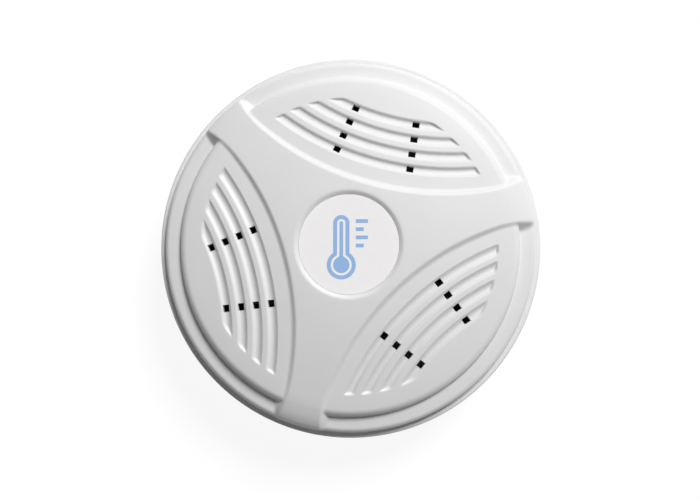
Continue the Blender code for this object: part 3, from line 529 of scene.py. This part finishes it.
# White ABS, moulded in a polished tool: for the eye a smooth plastic with broad soft highlights,
# far from a mirror. Its tone drifts over 11 mm, as the wall's sink does, and the gloss is frosted
# by an orange peel of 0.6 mm
white_abs, tree, place = new_material("white_abs_moulded")
waviness = add_node(tree, "ShaderNodeTexNoise", {
    "Vector": place, "Scale": 1 / (11 * MM), "Detail": 2.0,
})
peel = add_node(tree, "ShaderNodeTexNoise", {
    "Vector": place, "Scale": 1 / (0.6 * MM), "Detail": 3.0,
})
tone = add_node(tree, "ShaderNodeMix", {
    0: waviness.outputs[0], 6: linear("DBDBDC"), 7: linear("E0E0E1"),
}, data_type="RGBA")
gloss = add_node(tree, "ShaderNodeMapRange", {0: peel.outputs[0], 3: 0.50, 4: 0.60})
bump = add_node(tree, "ShaderNodeBump", {
    "Height": peel.outputs[0], "Strength": 0.08, "Distance": 0.02 * MM,
})
shader = add_node(tree, "ShaderNodeBsdfPrincipled", {
    "Base Color": tone.outputs[2],
    "Roughness": gloss.outputs[0],
    "Normal": bump.outputs[0],
    "IOR": 1.54,
})
finish_material(tree, shader)
cover.data.materials.clear()
cover.data.materials.append(white_abs)
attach(cover, "root")
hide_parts("front_cover")


# Badge disc and its print
# A round label of thick white film, pressed into the seat in the middle of the web.
# Its light blue thermometer and scale marks are screen printed, a hair thicker than the film.
BADGE_RADIUS = 10.77 * MM
BADGE_TOP = 23.55 * MM
BADGE_UNDERSIDE = 23.25 * MM
BADGE_EDGE = 0.04 * MM
BADGE_RING = 0.1 * MM
PRINT_BAR = 1.0 * MM
INK_THICKNESS = 0.015 * MM
STEM_WIDTH = 3.5 * MM
STEM_TOP = 6.3 * MM
BULB_CENTRE = -4.4 * MM
BULB_RADIUS = 3.1 * MM
LINE_WIDTH = 0.85 * MM
LIQUID_GAP = 0.5 * MM
PRINT_CENTRE = -1.6 * MM
MARK_START = 1.5 * MM
MARK_LENGTHS = (2.6 * MM, 1.7 * MM, 2.6 * MM, 1.7 * MM)
MARK_WIDTH = 0.8 * MM
MARK_PITCH = 1.75 * MM
FIRST_MARK = 5.0 * MM

# The disc's upper edge is broken, and a narrow ring inside it keeps the flat top evenly shaded
deselect()
badge_middle = (BADGE_TOP + BADGE_UNDERSIDE) / 2
bpy.ops.mesh.primitive_cylinder_add(vertices=160, radius=BADGE_RADIUS,
                                    depth=BADGE_TOP - BADGE_UNDERSIDE,
                                    location=(0, 0, badge_middle))
badge = bpy.context.object
badge.name = "badge_film"
bpy.ops.object.transform_apply(location=True)
bpy.ops.object.mode_set(mode="EDIT")
select_parts(badge, "EDGE", lambda edge: all(
    abs(corner.co.z - BADGE_TOP) < TOUCH for corner in edge.verts))
bpy.ops.mesh.bevel(offset=BADGE_EDGE, segments=3)
select_parts(badge, "FACE", lambda face: face.normal.z > 0.999)
bpy.ops.mesh.inset(thickness=BADGE_RING)
bpy.ops.object.mode_set(mode="OBJECT")
finish_shading(badge)

# Matt polyester film: a faint mottle of 1.4 mm from its adhesive and hardly any shine, so the disc
# reads flatter and whiter than the web round it
film, tree, place = new_material("badge_film_white")
mottle = add_node(tree, "ShaderNodeTexNoise", {
    "Vector": place, "Scale": 1 / (1.4 * MM), "Detail": 2.0,
})
tone = add_node(tree, "ShaderNodeMix", {
    0: mottle.outputs[0], 6: linear("F5F3F4"), 7: linear("F9F7F8"),
}, data_type="RGBA")
gloss = add_node(tree, "ShaderNodeMapRange", {0: mottle.outputs[0], 3: 0.78, 4: 0.88})
shader = add_node(tree, "ShaderNodeBsdfPrincipled", {
    "Base Color": tone.outputs[2], "Roughness": gloss.outputs[0], "Specular IOR Level": 0.25,
})
finish_material(tree, shader)
badge.data.materials.append(film)
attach(badge, "root")
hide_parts("badge_disc")

# The thermometer's outline is a stem and a bulb joined, drawn in twice for its line and its liquid
print_level = BADGE_TOP - PRINT_BAR / 2 + INK_THICKNESS
deselect()
bpy.ops.mesh.primitive_cylinder_add(vertices=96, radius=BULB_RADIUS, depth=PRINT_BAR,
                                    location=(PRINT_CENTRE, BULB_CENTRE, print_level))
print_shape = bpy.context.object
print_shape.name = "badge_print"
bpy.ops.object.transform_apply(location=True)

stem_end = STEM_TOP - STEM_WIDTH / 2
deselect()
bpy.ops.mesh.primitive_cylinder_add(vertices=64, radius=STEM_WIDTH / 2, depth=PRINT_BAR,
                                    location=(PRINT_CENTRE, stem_end, print_level))
stem = bpy.context.object
bpy.ops.object.transform_apply(location=True)
bpy.ops.object.mode_set(mode="EDIT")
select_parts(stem, "VERT", lambda corner: corner.co.y < stem_end + TOUCH)
bpy.ops.transform.resize(value=(1, 0, 1), center_override=(0, stem_end, 0))
bpy.ops.transform.translate(value=(0, BULB_CENTRE - stem_end, 0))
bpy.ops.object.mode_set(mode="OBJECT")
combine(print_shape, stem, "UNION")

deselect()
bpy.context.view_layer.objects.active = print_shape
print_shape.select_set(True)
bpy.ops.object.mode_set(mode="EDIT")
select_parts(print_shape, "FACE", lambda face: face.normal.z < 0.9)
bpy.ops.mesh.delete(type="FACE")
bpy.ops.mesh.select_all(action="SELECT")
bpy.ops.mesh.dissolve_limited(angle_limit=radians(0.5))
bpy.ops.mesh.select_all(action="SELECT")
bpy.ops.mesh.inset(thickness=LINE_WIDTH)
bpy.ops.mesh.inset(thickness=LIQUID_GAP, use_select_inset=True)
bpy.ops.mesh.delete(type="FACE")
mark_level = BADGE_TOP + INK_THICKNESS
for index, length in enumerate(MARK_LENGTHS):
    mark_place = (MARK_START + length / 2, FIRST_MARK - MARK_PITCH * index, mark_level)
    bpy.ops.mesh.primitive_plane_add(size=1 * MM, location=mark_place)
    bpy.ops.transform.resize(value=(length / MM, MARK_WIDTH / MM, 1))
bpy.ops.mesh.select_all(action="SELECT")
bpy.ops.mesh.extrude_region_move(TRANSFORM_OT_translate={"value": (0, 0, -2 * INK_THICKNESS)})
bpy.ops.mesh.select_all(action="SELECT")
bpy.ops.mesh.normals_make_consistent(inside=False)
bpy.ops.object.mode_set(mode="OBJECT")

# Screen-printed ink: light blue and a little shinier than the film. The screen's mesh leaves a
# fine texture, drawn here at 0.3 mm, which is coarser than the real one
print_blue, tree, place = new_material("screen_print_blue")
laydown = add_node(tree, "ShaderNodeTexNoise", {
    "Vector": place, "Scale": 1 / (0.3 * MM), "Detail": 3.0,
})
tone = add_node(tree, "ShaderNodeMix", {
    0: laydown.outputs[0], 6: linear("90B5E2"), 7: linear("96BAE6"),
}, data_type="RGBA")
gloss = add_node(tree, "ShaderNodeMapRange", {0: laydown.outputs[0], 3: 0.4, 4: 0.52})
bump = add_node(tree, "ShaderNodeBump", {
    "Height": laydown.outputs[0], "Strength": 0.1, "Distance": 0.005 * MM,
})
shader = add_node(tree, "ShaderNodeBsdfPrincipled", {
    "Base Color": tone.outputs[2], "Roughness": gloss.outputs[0], "Normal": bump.outputs[0],
})
finish_material(tree, shader)
print_shape.data.materials.clear()
print_shape.data.materials.append(print_blue)
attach(print_shape, "root")


# Rear base
# The dish that is screwed to the wall, moulded in the same white ABS as the cover.
# Its rounded rim stands round the cover with a fine parting line between them.
# Two wall screw slots, the cable entry with its raised frame and three board posts are moulded in.
BASE_RADIUS = 42.5 * MM
FOOT_RADIUS = 41.9 * MM
FOOT_CHAMFER = 0.6 * MM
FOOT_BREAK = 0.2 * MM
BACK_RING = 0.1 * MM
MIDDLE_RING = 20.0 * MM
LIP_RADIUS = 40.95 * MM
LIP_ROUND = ((0.0, 0.1 * MM), (0.04 * MM, 0.03 * MM), (0.12 * MM, 0.0))
RIM_TOP = 15.5 * MM
RIM_ROUND = 0.45 * MM
RIM_RADIUS = 42.25 * MM
BELLY_HEIGHT = 9.0 * MM
BELLY_EASE = 0.15 * MM
NEST_FLOOR = 13.885 * MM
BASE_INNER_RADIUS = 40.1 * MM
BASE_FLOOR = 2.0 * MM
POCKET_RADIUS = 41.2 * MM
POCKET_TOP = 9.3 * MM
POCKET_HALF_SWEEP = radians(6.87)
POST_ANGLES = (radians(100), radians(200), radians(340))
POST_CIRCLE = 25.5 * MM
POST_RADIUS = 3.2 * MM
POST_TOP = 7.0 * MM
POST_CHAMFER = 0.3 * MM
PILOT_RADIUS = 1.4 * MM
PILOT_CHAMFER = 0.3 * MM
PILOT_FLOOR = 2.4 * MM
SLOT_REACH = 30.0 * MM
SLOT_WIDTH = 4.6 * MM
SLOT_LENGTH = 8.6 * MM
SLOT_BAR = 8.0 * MM
ENTRY_CENTRE = (0, -27.0 * MM, 0)
ENTRY_SIZE = (18.0 * MM, 10.0 * MM)
ENTRY_CORNER = 2.5 * MM
ENTRY_BAR = 10.0 * MM
COLLAR_WALL = 1.2 * MM
COLLAR_TOP = 3.4 * MM

# One ring is drawn up inside the wall, over the lip and the rim, down outside and across the back,
# and another closes the floor. A narrow ring at the back's edge keeps the flat back evenly shaded
floor_edge = BASE_INNER_RADIUS - FOOT_CHAMFER
deselect()
bpy.ops.mesh.primitive_circle_add(vertices=240, radius=floor_edge, fill_type="NOTHING",
                                  location=(0, 0, 0), enter_editmode=True)
base = bpy.context.object
base.name = "base_moulding"
bpy.ops.mesh.select_all(action="SELECT")
bpy.ops.transform.translate(value=(0, 0, BASE_FLOOR))
bpy.ops.mesh.select_mode(type="EDGE")
wall = [
    (BASE_INNER_RADIUS, BASE_FLOOR + FOOT_CHAMFER),
    (BASE_INNER_RADIUS, NEST_FLOOR),
    (LIP_RADIUS, NEST_FLOOR),
]
lip = [(LIP_RADIUS + across, RIM_TOP - down) for across, down in LIP_ROUND]
rim = []
for angle in (0, 15, 30, 45, 60, 75, 90):
    turn = radians(angle)
    rim.append((RIM_RADIUS - RIM_ROUND + RIM_ROUND * sin(turn),
                RIM_TOP - RIM_ROUND * (1 - cos(turn))))
foot = [
    (RIM_RADIUS + BELLY_EASE, 0.5 * (RIM_TOP + BELLY_HEIGHT)),
    (BASE_RADIUS, BELLY_HEIGHT),
    (BASE_RADIUS - BELLY_EASE, 0.5 * BELLY_HEIGHT),
    (FOOT_RADIUS, FOOT_CHAMFER),
    (FOOT_RADIUS - FOOT_BREAK, FOOT_BREAK),
    (FOOT_RADIUS - FOOT_CHAMFER, 0.0),
    (FOOT_RADIUS - FOOT_CHAMFER - BACK_RING, 0.0),
    (MIDDLE_RING, 0.0),
]
draw_loops(floor_edge, wall + lip + rim + foot)
close_loop()
select_ring(base, floor_edge)
draw_loops(floor_edge, [(MIDDLE_RING, BASE_FLOOR)])
close_loop()
bpy.ops.mesh.select_all(action="SELECT")
bpy.ops.mesh.normals_make_consistent(inside=False)
bpy.ops.object.mode_set(mode="OBJECT")

# Board posts: upright cylinders, inset and pushed down in the middle for the screw's pilot hole
foot_level = BASE_FLOOR - ROOT
for angle in POST_ANGLES:
    place = (POST_CIRCLE * cos(angle), POST_CIRCLE * sin(angle), (POST_TOP + foot_level) / 2)
    deselect()
    bpy.ops.mesh.primitive_cylinder_add(vertices=40, radius=POST_RADIUS,
                                        depth=POST_TOP - foot_level, location=place)
    post = bpy.context.object
    bpy.ops.object.transform_apply(location=True)
    bpy.ops.object.mode_set(mode="EDIT")
    select_parts(post, "FACE", lambda face: face.normal.z > 0.9)
    bpy.ops.mesh.bevel(offset=POST_CHAMFER, segments=3)
    select_parts(post, "FACE", lambda face: face.normal.z > 0.99)
    bpy.ops.mesh.inset(thickness=POST_RADIUS - POST_CHAMFER - PILOT_RADIUS - PILOT_CHAMFER)
    bpy.ops.mesh.extrude_region_move(TRANSFORM_OT_translate={"value": (0, 0, -PILOT_CHAMFER)})
    narrow = PILOT_RADIUS / (PILOT_RADIUS + PILOT_CHAMFER)
    bpy.ops.transform.resize(value=(narrow, narrow, 1), center_override=(place[0], place[1], 0))
    depth = PILOT_FLOOR - POST_TOP + PILOT_CHAMFER
    bpy.ops.mesh.extrude_region_move(TRANSFORM_OT_translate={"value": (0, 0, depth)})
    bpy.ops.object.mode_set(mode="OBJECT")
    combine(base, post, "UNION")


def rounded_block(size, centre, corner):
    """A closed block with rounded upright edges."""
    deselect()
    bpy.ops.mesh.primitive_cube_add(size=1, location=centre)
    piece = bpy.context.object
    piece.scale = size
    bpy.ops.object.transform_apply(location=True, rotation=True, scale=True)
    bpy.ops.object.mode_set(mode="EDIT")
    select_parts(piece, "EDGE", lambda edge: (
        edge.verts[0].co.xy - edge.verts[1].co.xy).length < TOUCH)
    bpy.ops.mesh.bevel(offset=corner, segments=8)
    bpy.ops.object.mode_set(mode="OBJECT")
    return piece


# Cable entry: a raised frame on the floor, and the opening right through both
frame_height = COLLAR_TOP - BASE_FLOOR + ROOT
frame_size = (ENTRY_SIZE[0] + 2 * COLLAR_WALL, ENTRY_SIZE[1] + 2 * COLLAR_WALL, frame_height)
frame_centre = (0, ENTRY_CENTRE[1], COLLAR_TOP - frame_height / 2)
combine(base, rounded_block(frame_size, frame_centre, ENTRY_CORNER + COLLAR_WALL), "UNION")
combine(base, rounded_block((*ENTRY_SIZE, ENTRY_BAR), ENTRY_CENTRE, ENTRY_CORNER), "DIFFERENCE")

# Wall screw slots: a round bar drawn out in edit mode, upright on the left and level on the right
draw_out = (SLOT_LENGTH - SLOT_WIDTH) / 2
for side in (-1, 1):
    deselect()
    bpy.ops.mesh.primitive_cylinder_add(vertices=48, radius=SLOT_WIDTH / 2, depth=SLOT_BAR)
    slot = bpy.context.object
    along = Vector((0, 1, 0)) if side < 0 else Vector((1, 0, 0))
    bpy.ops.object.mode_set(mode="EDIT")
    for end in (-1, 1):
        select_parts(slot, "VERT", lambda corner: corner.co.dot(along) * end > TOUCH)
        bpy.ops.transform.translate(value=along * draw_out * end)
    bpy.ops.mesh.select_all(action="SELECT")
    bpy.ops.transform.translate(value=(side * SLOT_REACH, 0, 0))
    bpy.ops.object.mode_set(mode="OBJECT")
    combine(base, slot, "DIFFERENCE")

# Pockets inside the wall for the noses of the cover's catches
pocket = [
    (BASE_INNER_RADIUS - ROOT, TONGUE_TIP),
    (POCKET_RADIUS, TONGUE_TIP),
    (POCKET_RADIUS, POCKET_TOP),
    (BASE_INNER_RADIUS - ROOT, POCKET_TOP),
]
for arm in range(3):
    combine(base, spun_bar(pocket, FIRST_ARM + THIRD * arm, POCKET_HALF_SWEEP), "DIFFERENCE")

finish_shading(base)
base.data.materials.append(white_abs)
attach(base, "root")
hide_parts("rear_base")


# Circuit board
# Glass-filled epoxy laminate, routed to shape, with copper areas under a green solder mask.
# Three screws hold it on the posts; the cut-off side leaves room for the cable.
COPPER_RADIUS = 29.3 * MM
THREAD_PITCH = 0.5 * MM
DIAGONAL_WAVE = 0.44


def dress(material, *nodes):
    """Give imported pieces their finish."""
    for node in nodes:
        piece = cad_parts[node]
        piece.data.materials.clear()
        piece.data.materials.append(material)


# Solder mask: a glossy green lacquer that flows a little unevenly over 8 mm and shows the glass
# weave, whose threads lie 0.5 mm apart; the border without copper under it is darker
board_mask, tree, place = new_material("board_solder_mask")
flow = add_node(tree, "ShaderNodeTexNoise", {
    "Vector": place, "Scale": 1 / (8 * MM), "Detail": 2.0,
})
lacquer = add_node(tree, "ShaderNodeMix", {
    0: flow.outputs[0], 6: linear("236141"), 7: linear("286D48"),
}, data_type="RGBA")
flat_place = add_node(tree, "ShaderNodeMapping", {"Vector": place, "Scale": (1, 1, 0)})
from_middle = add_node(tree, "ShaderNodeVectorMath", {
    0: flat_place.outputs[0],
}, operation="LENGTH")
border = add_node(tree, "ShaderNodeMath", {
    0: from_middle.outputs["Value"], 1: COPPER_RADIUS,
}, operation="GREATER_THAN")
areas = add_node(tree, "ShaderNodeMix", {
    0: border.outputs[0], 6: lacquer.outputs[2], 7: linear("1A4A30"),
}, data_type="RGBA")
threads = add_node(tree, "ShaderNodeTexWave", {
    "Vector": place, "Scale": DIAGONAL_WAVE / THREAD_PITCH, "Distortion": 0.3,
}, bands_direction="DIAGONAL")
weave = add_node(tree, "ShaderNodeBump", {
    "Height": threads.outputs[1], "Strength": 0.15, "Distance": 0.02 * MM,
})
gloss = add_node(tree, "ShaderNodeMapRange", {0: threads.outputs[1], 3: 0.28, 4: 0.38})
shader = add_node(tree, "ShaderNodeBsdfPrincipled", {
    "Base Color": areas.outputs[2],
    "Roughness": gloss.outputs[0],
    "Normal": weave.outputs[0],
    "IOR": 1.52,
})
finish_material(tree, shader)
dress(board_mask, "circuit_board")


# Board screws and sensor leads
# Pan-head screws with a cross drive, cold-headed from steel wire and zinc plated.
# The sensor's leads are tinned wire, which shines alike.

# Zinc plate: a bright metal whose passivation clouds over about 1 mm and dulls the shine in patches
zinc_plate, tree, place = new_material("zinc_plated_steel")
clouds = add_node(tree, "ShaderNodeTexNoise", {
    "Vector": place, "Scale": 1 / (1.1 * MM), "Detail": 4.0,
})
tone = add_node(tree, "ShaderNodeMix", {
    0: clouds.outputs[0], 6: linear("AEB1B4"), 7: linear("C6C8C9"),
}, data_type="RGBA")
gloss = add_node(tree, "ShaderNodeMapRange", {0: clouds.outputs[0], 3: 0.25, 4: 0.42})
bump = add_node(tree, "ShaderNodeBump", {
    "Height": clouds.outputs[0], "Strength": 0.15, "Distance": 0.01 * MM,
})
shader = add_node(tree, "ShaderNodeBsdfPrincipled", {
    "Base Color": tone.outputs[2],
    "Metallic": 1.0,
    "Roughness": gloss.outputs[0],
    "Normal": bump.outputs[0],
})
finish_material(tree, shader)
dress(zinc_plate, "board_screw_1", "board_screw_2", "board_screw_3")
dress(zinc_plate, "sensor_lead_1", "sensor_lead_2", "sensor_lead_3")


# Screw terminal
# A three-way block of green polyamide, moulded in an eroded tool, so it is matt with a fine grain.
# Each way holds a brass cage with a slotted steel screw that grips one wire of the cable.

# Polyamide from an eroded tool: a soft, even shine, broken up by a grain of 0.25 mm
terminal_nylon, tree, place = new_material("terminal_polyamide_moulded")
grain = add_node(tree, "ShaderNodeTexNoise", {
    "Vector": place, "Scale": 1 / (0.25 * MM), "Detail": 2.0,
})
tone = add_node(tree, "ShaderNodeMix", {
    0: grain.outputs[0], 6: linear("2A6849"), 7: linear("327554"),
}, data_type="RGBA")
gloss = add_node(tree, "ShaderNodeMapRange", {0: grain.outputs[0], 3: 0.48, 4: 0.6})
bump = add_node(tree, "ShaderNodeBump", {
    "Height": grain.outputs[0], "Strength": 0.2, "Distance": 0.03 * MM,
})
shader = add_node(tree, "ShaderNodeBsdfPrincipled", {
    "Base Color": tone.outputs[2],
    "Roughness": gloss.outputs[0],
    "Normal": bump.outputs[0],
    "IOR": 1.53,
})
finish_material(tree, shader)
dress(terminal_nylon, "terminal_body")

# Nickel over brass: a warm grey metal, with a slightly yellow bloom in patches of 2 mm
nickelled, tree, place = new_material("nickelled_brass_stamped")
bloom = add_node(tree, "ShaderNodeTexNoise", {
    "Vector": place, "Scale": 1 / (2 * MM), "Detail": 3.0,
})
tone = add_node(tree, "ShaderNodeMix", {
    0: bloom.outputs[0], 6: linear("BFB38A"), 7: linear("D2C9A8"),
}, data_type="RGBA")
gloss = add_node(tree, "ShaderNodeMapRange", {0: bloom.outputs[0], 3: 0.3, 4: 0.42})
shader = add_node(tree, "ShaderNodeBsdfPrincipled", {
    "Base Color": tone.outputs[2], "Metallic": 1.0, "Roughness": gloss.outputs[0],
})
finish_material(tree, shader)
dress(nickelled, "terminal_clamp_1", "terminal_clamp_2", "terminal_clamp_3")
dress(zinc_plate, "terminal_screw_1", "terminal_screw_2", "terminal_screw_3")


# Temperature sensor and the black parts on the board
# All are moulded in black epoxy filled with silica, which leaves a matt skin with pale specks.
# The sensor stands on its leads under the vents; the others are soldered flat on the board.

# Filled epoxy: a matt near-black whose 0.2 mm specks catch the light
black_epoxy, tree, place = new_material("black_epoxy_moulded")
silica = add_node(tree, "ShaderNodeTexNoise", {
    "Vector": place, "Scale": 1 / (0.2 * MM), "Detail": 2.0,
})
tone = add_node(tree, "ShaderNodeMix", {
    0: silica.outputs[0], 6: linear("171718"), 7: linear("242426"),
}, data_type="RGBA")
gloss = add_node(tree, "ShaderNodeMapRange", {0: silica.outputs[0], 3: 0.45, 4: 0.65})
bump = add_node(tree, "ShaderNodeBump", {
    "Height": silica.outputs[0], "Strength": 0.25, "Distance": 0.02 * MM,
})
shader = add_node(tree, "ShaderNodeBsdfPrincipled", {
    "Base Color": tone.outputs[2], "Roughness": gloss.outputs[0], "Normal": bump.outputs[0],
})
finish_material(tree, shader)
dress(black_epoxy, "sensor_body", "controller_chip", "regulator_body", "capacitor_foot")
dress(zinc_plate, "regulator_tab")


# Chip capacitors, resistors and the protection diode
# Small ceramic and epoxy blocks with tinned ends, soldered down by machine.
# Each finish finds the part's two ends by their distance from its middle.
def two_ended(name, node, body_low, body_high, end_length, end_hex="BDBFC1"):
    """A matt body whose two ends, along X, are tinned metal."""
    corners = [Vector(corner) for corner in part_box(node)]
    middle = (corners[0] + corners[1]) / 2
    half_length = (corners[1].x - corners[0].x) / 2
    # Ceramic or epoxy: a dull body with a speckle of 0.33 mm, and satin metal at both ends
    material, tree, place = new_material(name)
    centred = add_node(tree, "ShaderNodeMapping", {"Vector": place, "Location": -middle})
    split = add_node(tree, "ShaderNodeSeparateXYZ", {"Vector": centred.outputs[0]})
    distance = add_node(tree, "ShaderNodeMath", {0: split.outputs[0]}, operation="ABSOLUTE")
    at_end = add_node(tree, "ShaderNodeMath", {
        0: distance.outputs[0], 1: half_length - end_length,
    }, operation="GREATER_THAN")
    speckle = add_node(tree, "ShaderNodeTexNoise", {
        "Vector": place, "Scale": 1 / (0.33 * MM), "Detail": 2.0,
    })
    body = add_node(tree, "ShaderNodeMix", {
        0: speckle.outputs[0], 6: linear(body_low), 7: linear(body_high),
    }, data_type="RGBA")
    tone = add_node(tree, "ShaderNodeMix", {
        0: at_end.outputs[0], 6: body.outputs[2], 7: linear(end_hex),
    }, data_type="RGBA")
    gloss = add_node(tree, "ShaderNodeMapRange", {0: speckle.outputs[0], 3: 0.38, 4: 0.55})
    shader = add_node(tree, "ShaderNodeBsdfPrincipled", {
        "Base Color": tone.outputs[2],
        "Metallic": at_end.outputs[0],
        "Roughness": gloss.outputs[0],
    })
    finish_material(tree, shader)
    dress(material, node)


for number in (1, 2):
    two_ended("tinned_ceramic_%d" % number, "ceramic_capacitor_%d" % number,
              "A9875B", "B8966B", 0.5 * MM)
for number in (1, 2, 3):
    two_ended("tinned_resistor_%d" % number, "resistor_%d" % number, "151516", "202022", 0.45 * MM)
two_ended("tinned_diode", "protection_diode", "18181A", "252527", 0.25 * MM)


# Can capacitor
# An aluminium can, drawn from sheet and crimped on a moulded foot, then soldered to the board.
# The black segment printed on its end marks the minus side.
SEGMENT_EDGE = -1.3 * MM
END_SKIN = 0.02 * MM
can_low, can_high = [Vector(corner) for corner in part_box("capacitor_can")]

# Drawn aluminium: a bright metal that shows fine upright lines; the printed segment is a dull black
drawn_can, tree, place = new_material("drawn_aluminium_can")
centred = add_node(tree, "ShaderNodeMapping", {
    "Vector": place, "Location": -(can_low + can_high) / 2,
})
split = add_node(tree, "ShaderNodeSeparateXYZ", {"Vector": centred.outputs[0]})
end_level = (can_high.z - can_low.z) / 2 - END_SKIN
on_end = add_node(tree, "ShaderNodeMath", {
    0: split.outputs[2], 1: end_level,
}, operation="GREATER_THAN")
minus_side = add_node(tree, "ShaderNodeMath", {
    0: split.outputs[0], 1: SEGMENT_EDGE,
}, operation="LESS_THAN")
printed = add_node(tree, "ShaderNodeMath", {
    0: on_end.outputs[0], 1: minus_side.outputs[0],
}, operation="MULTIPLY")
# The lines that drawing leaves lie 0.2 mm apart and run fifty times as far up the wall
drawn_place = add_node(tree, "ShaderNodeMapping", {"Vector": place, "Scale": (1, 1, 0.02)})
drawn_lines = add_node(tree, "ShaderNodeTexNoise", {
    "Vector": drawn_place.outputs[0], "Scale": 1 / (0.2 * MM), "Detail": 1.0,
})
metal = add_node(tree, "ShaderNodeMix", {
    0: drawn_lines.outputs[0], 6: linear("BEC0C2"), 7: linear("CDCFD0"),
}, data_type="RGBA")
tone = add_node(tree, "ShaderNodeMix", {
    0: printed.outputs[0], 6: metal.outputs[2], 7: linear("1B1B1D"),
}, data_type="RGBA")
bare = add_node(tree, "ShaderNodeMath", {0: 1.0, 1: printed.outputs[0]}, operation="SUBTRACT")
gloss = add_node(tree, "ShaderNodeMapRange", {0: drawn_lines.outputs[0], 3: 0.24, 4: 0.36})
shader = add_node(tree, "ShaderNodeBsdfPrincipled", {
    "Base Color": tone.outputs[2], "Metallic": bare.outputs[0], "Roughness": gloss.outputs[0],
})
finish_material(tree, shader)
dress(drawn_can, "capacitor_can")


# Floor, lights and camera
# A sheet of pale paper under the object, with one large soft lamp high at the upper right.
# A weak even fill opens the shadows. The camera stands where the photo's did, almost in front.
FLOOR_SIZE = 3.0
FLOOR_DROP = 0.1 * MM
GLOW_START = 40.0 * MM
GLOW_SHARE = 0.87
GLOW_STRENGTH = 1.05
FILL_STRENGTH = 0.08
SUBJECT_HEIGHT = 20.0 * MM
LAMP_AZIMUTH = radians(57)
LAMP_HEIGHT = radians(46)
LAMP_DISTANCE = 2.7
LAMP_SIZE = 1.05
LAMP_POWER = 83.0
CAMERA_LENS = 47.92
CAMERA_NEAR = 0.01
CAMERA_LEAN = radians(-1.49)
CAMERA_NOD = radians(-3.02)
CAMERA_PLACE = (0.28 * MM, -1.26 * MM, 198.4 * MM)


def seen_rays(tree):
    """1 for the rays that show the pale background: direct, through glass or in a reflection."""
    path = add_node(tree, "ShaderNodeLightPath").outputs
    clear = add_node(tree, "ShaderNodeMath", {
        0: path["Is Camera Ray"], 1: path["Is Transmission Ray"],
    }, operation="MAXIMUM")
    return add_node(tree, "ShaderNodeMath", {0: clear.outputs[0], 1: path["Is Glossy Ray"]},
                    operation="MAXIMUM").outputs[0]


deselect()
bpy.ops.mesh.primitive_plane_add(size=FLOOR_SIZE, location=(0, 0, -FLOOR_DROP))
floor = bpy.context.object
floor.name = "floor"

# Matt paper, so pale that it reads as plain ground. For the rays that show the background it
# glows beside the object, just so much that a faint shadow stays
pale, tree, place = new_material("pale_paper")
paper = add_node(tree, "ShaderNodeBsdfDiffuse", {"Color": linear("F2F2F2")})
glow = add_node(tree, "ShaderNodeEmission", {"Color": (1, 1, 1, 1), "Strength": GLOW_STRENGTH})
from_middle = add_node(tree, "ShaderNodeVectorMath", {0: place}, operation="LENGTH")
beside = add_node(tree, "ShaderNodeMath", {
    0: from_middle.outputs["Value"], 1: GLOW_START,
}, operation="GREATER_THAN")
seen = add_node(tree, "ShaderNodeMath", {
    0: seen_rays(tree), 1: beside.outputs[0],
}, operation="MULTIPLY")
share = add_node(tree, "ShaderNodeMath", {0: seen.outputs[0], 1: GLOW_SHARE}, operation="MULTIPLY")
mix = add_node(tree, "ShaderNodeMixShader", {
    0: share.outputs[0], 1: paper.outputs[0], 2: glow.outputs[0],
})
finish_material(tree, mix)
floor.data.materials.append(pale)

# The world is a weak fill for the object, and white for the rays that show the background
world = bpy.data.worlds.new("studio")
bpy.context.scene.world = world
world.use_nodes = True
tree = world.node_tree
tree.nodes.clear()
fill = add_node(tree, "ShaderNodeBackground", {"Color": (1, 1, 1, 1), "Strength": FILL_STRENGTH})
white = add_node(tree, "ShaderNodeBackground", {"Color": (1, 1, 1, 1), "Strength": 1.0})
mix = add_node(tree, "ShaderNodeMixShader", {
    0: seen_rays(tree), 1: fill.outputs[0], 2: white.outputs[0],
})
add_node(tree, "ShaderNodeOutputWorld", {"Surface": mix.outputs[0]})

# The lamp is a round soft box that faces the object
sideways = cos(LAMP_HEIGHT)
toward = Vector((cos(LAMP_AZIMUTH) * sideways, sin(LAMP_AZIMUTH) * sideways, sin(LAMP_HEIGHT)))
lamp = bpy.data.lights.new("key", "AREA")
lamp.shape = "DISK"
lamp.size = LAMP_SIZE
lamp.energy = LAMP_POWER
key = bpy.data.objects.new("key", lamp)
bpy.context.collection.objects.link(key)
key.location = Vector((0, 0, SUBJECT_HEIGHT)) + toward * LAMP_DISTANCE
key.rotation_euler = toward.to_track_quat("Z", "Y").to_euler()

camera = bpy.data.cameras.new("camera")
camera.lens = CAMERA_LENS
camera.clip_start = CAMERA_NEAR
view = bpy.data.objects.new("camera", camera)
bpy.context.collection.objects.link(view)
tilt = (Matrix.Rotation(CAMERA_LEAN, 3, "Y") @ Matrix.Rotation(CAMERA_NOD, 3, "X")).transposed()
view.rotation_euler = tilt.to_euler()
view.location = tilt @ Vector(CAMERA_PLACE) + Vector((0, 0, APEX_HEIGHT))
bpy.context.scene.camera = view
bpy.context.scene.view_settings.view_transform = "Standard"
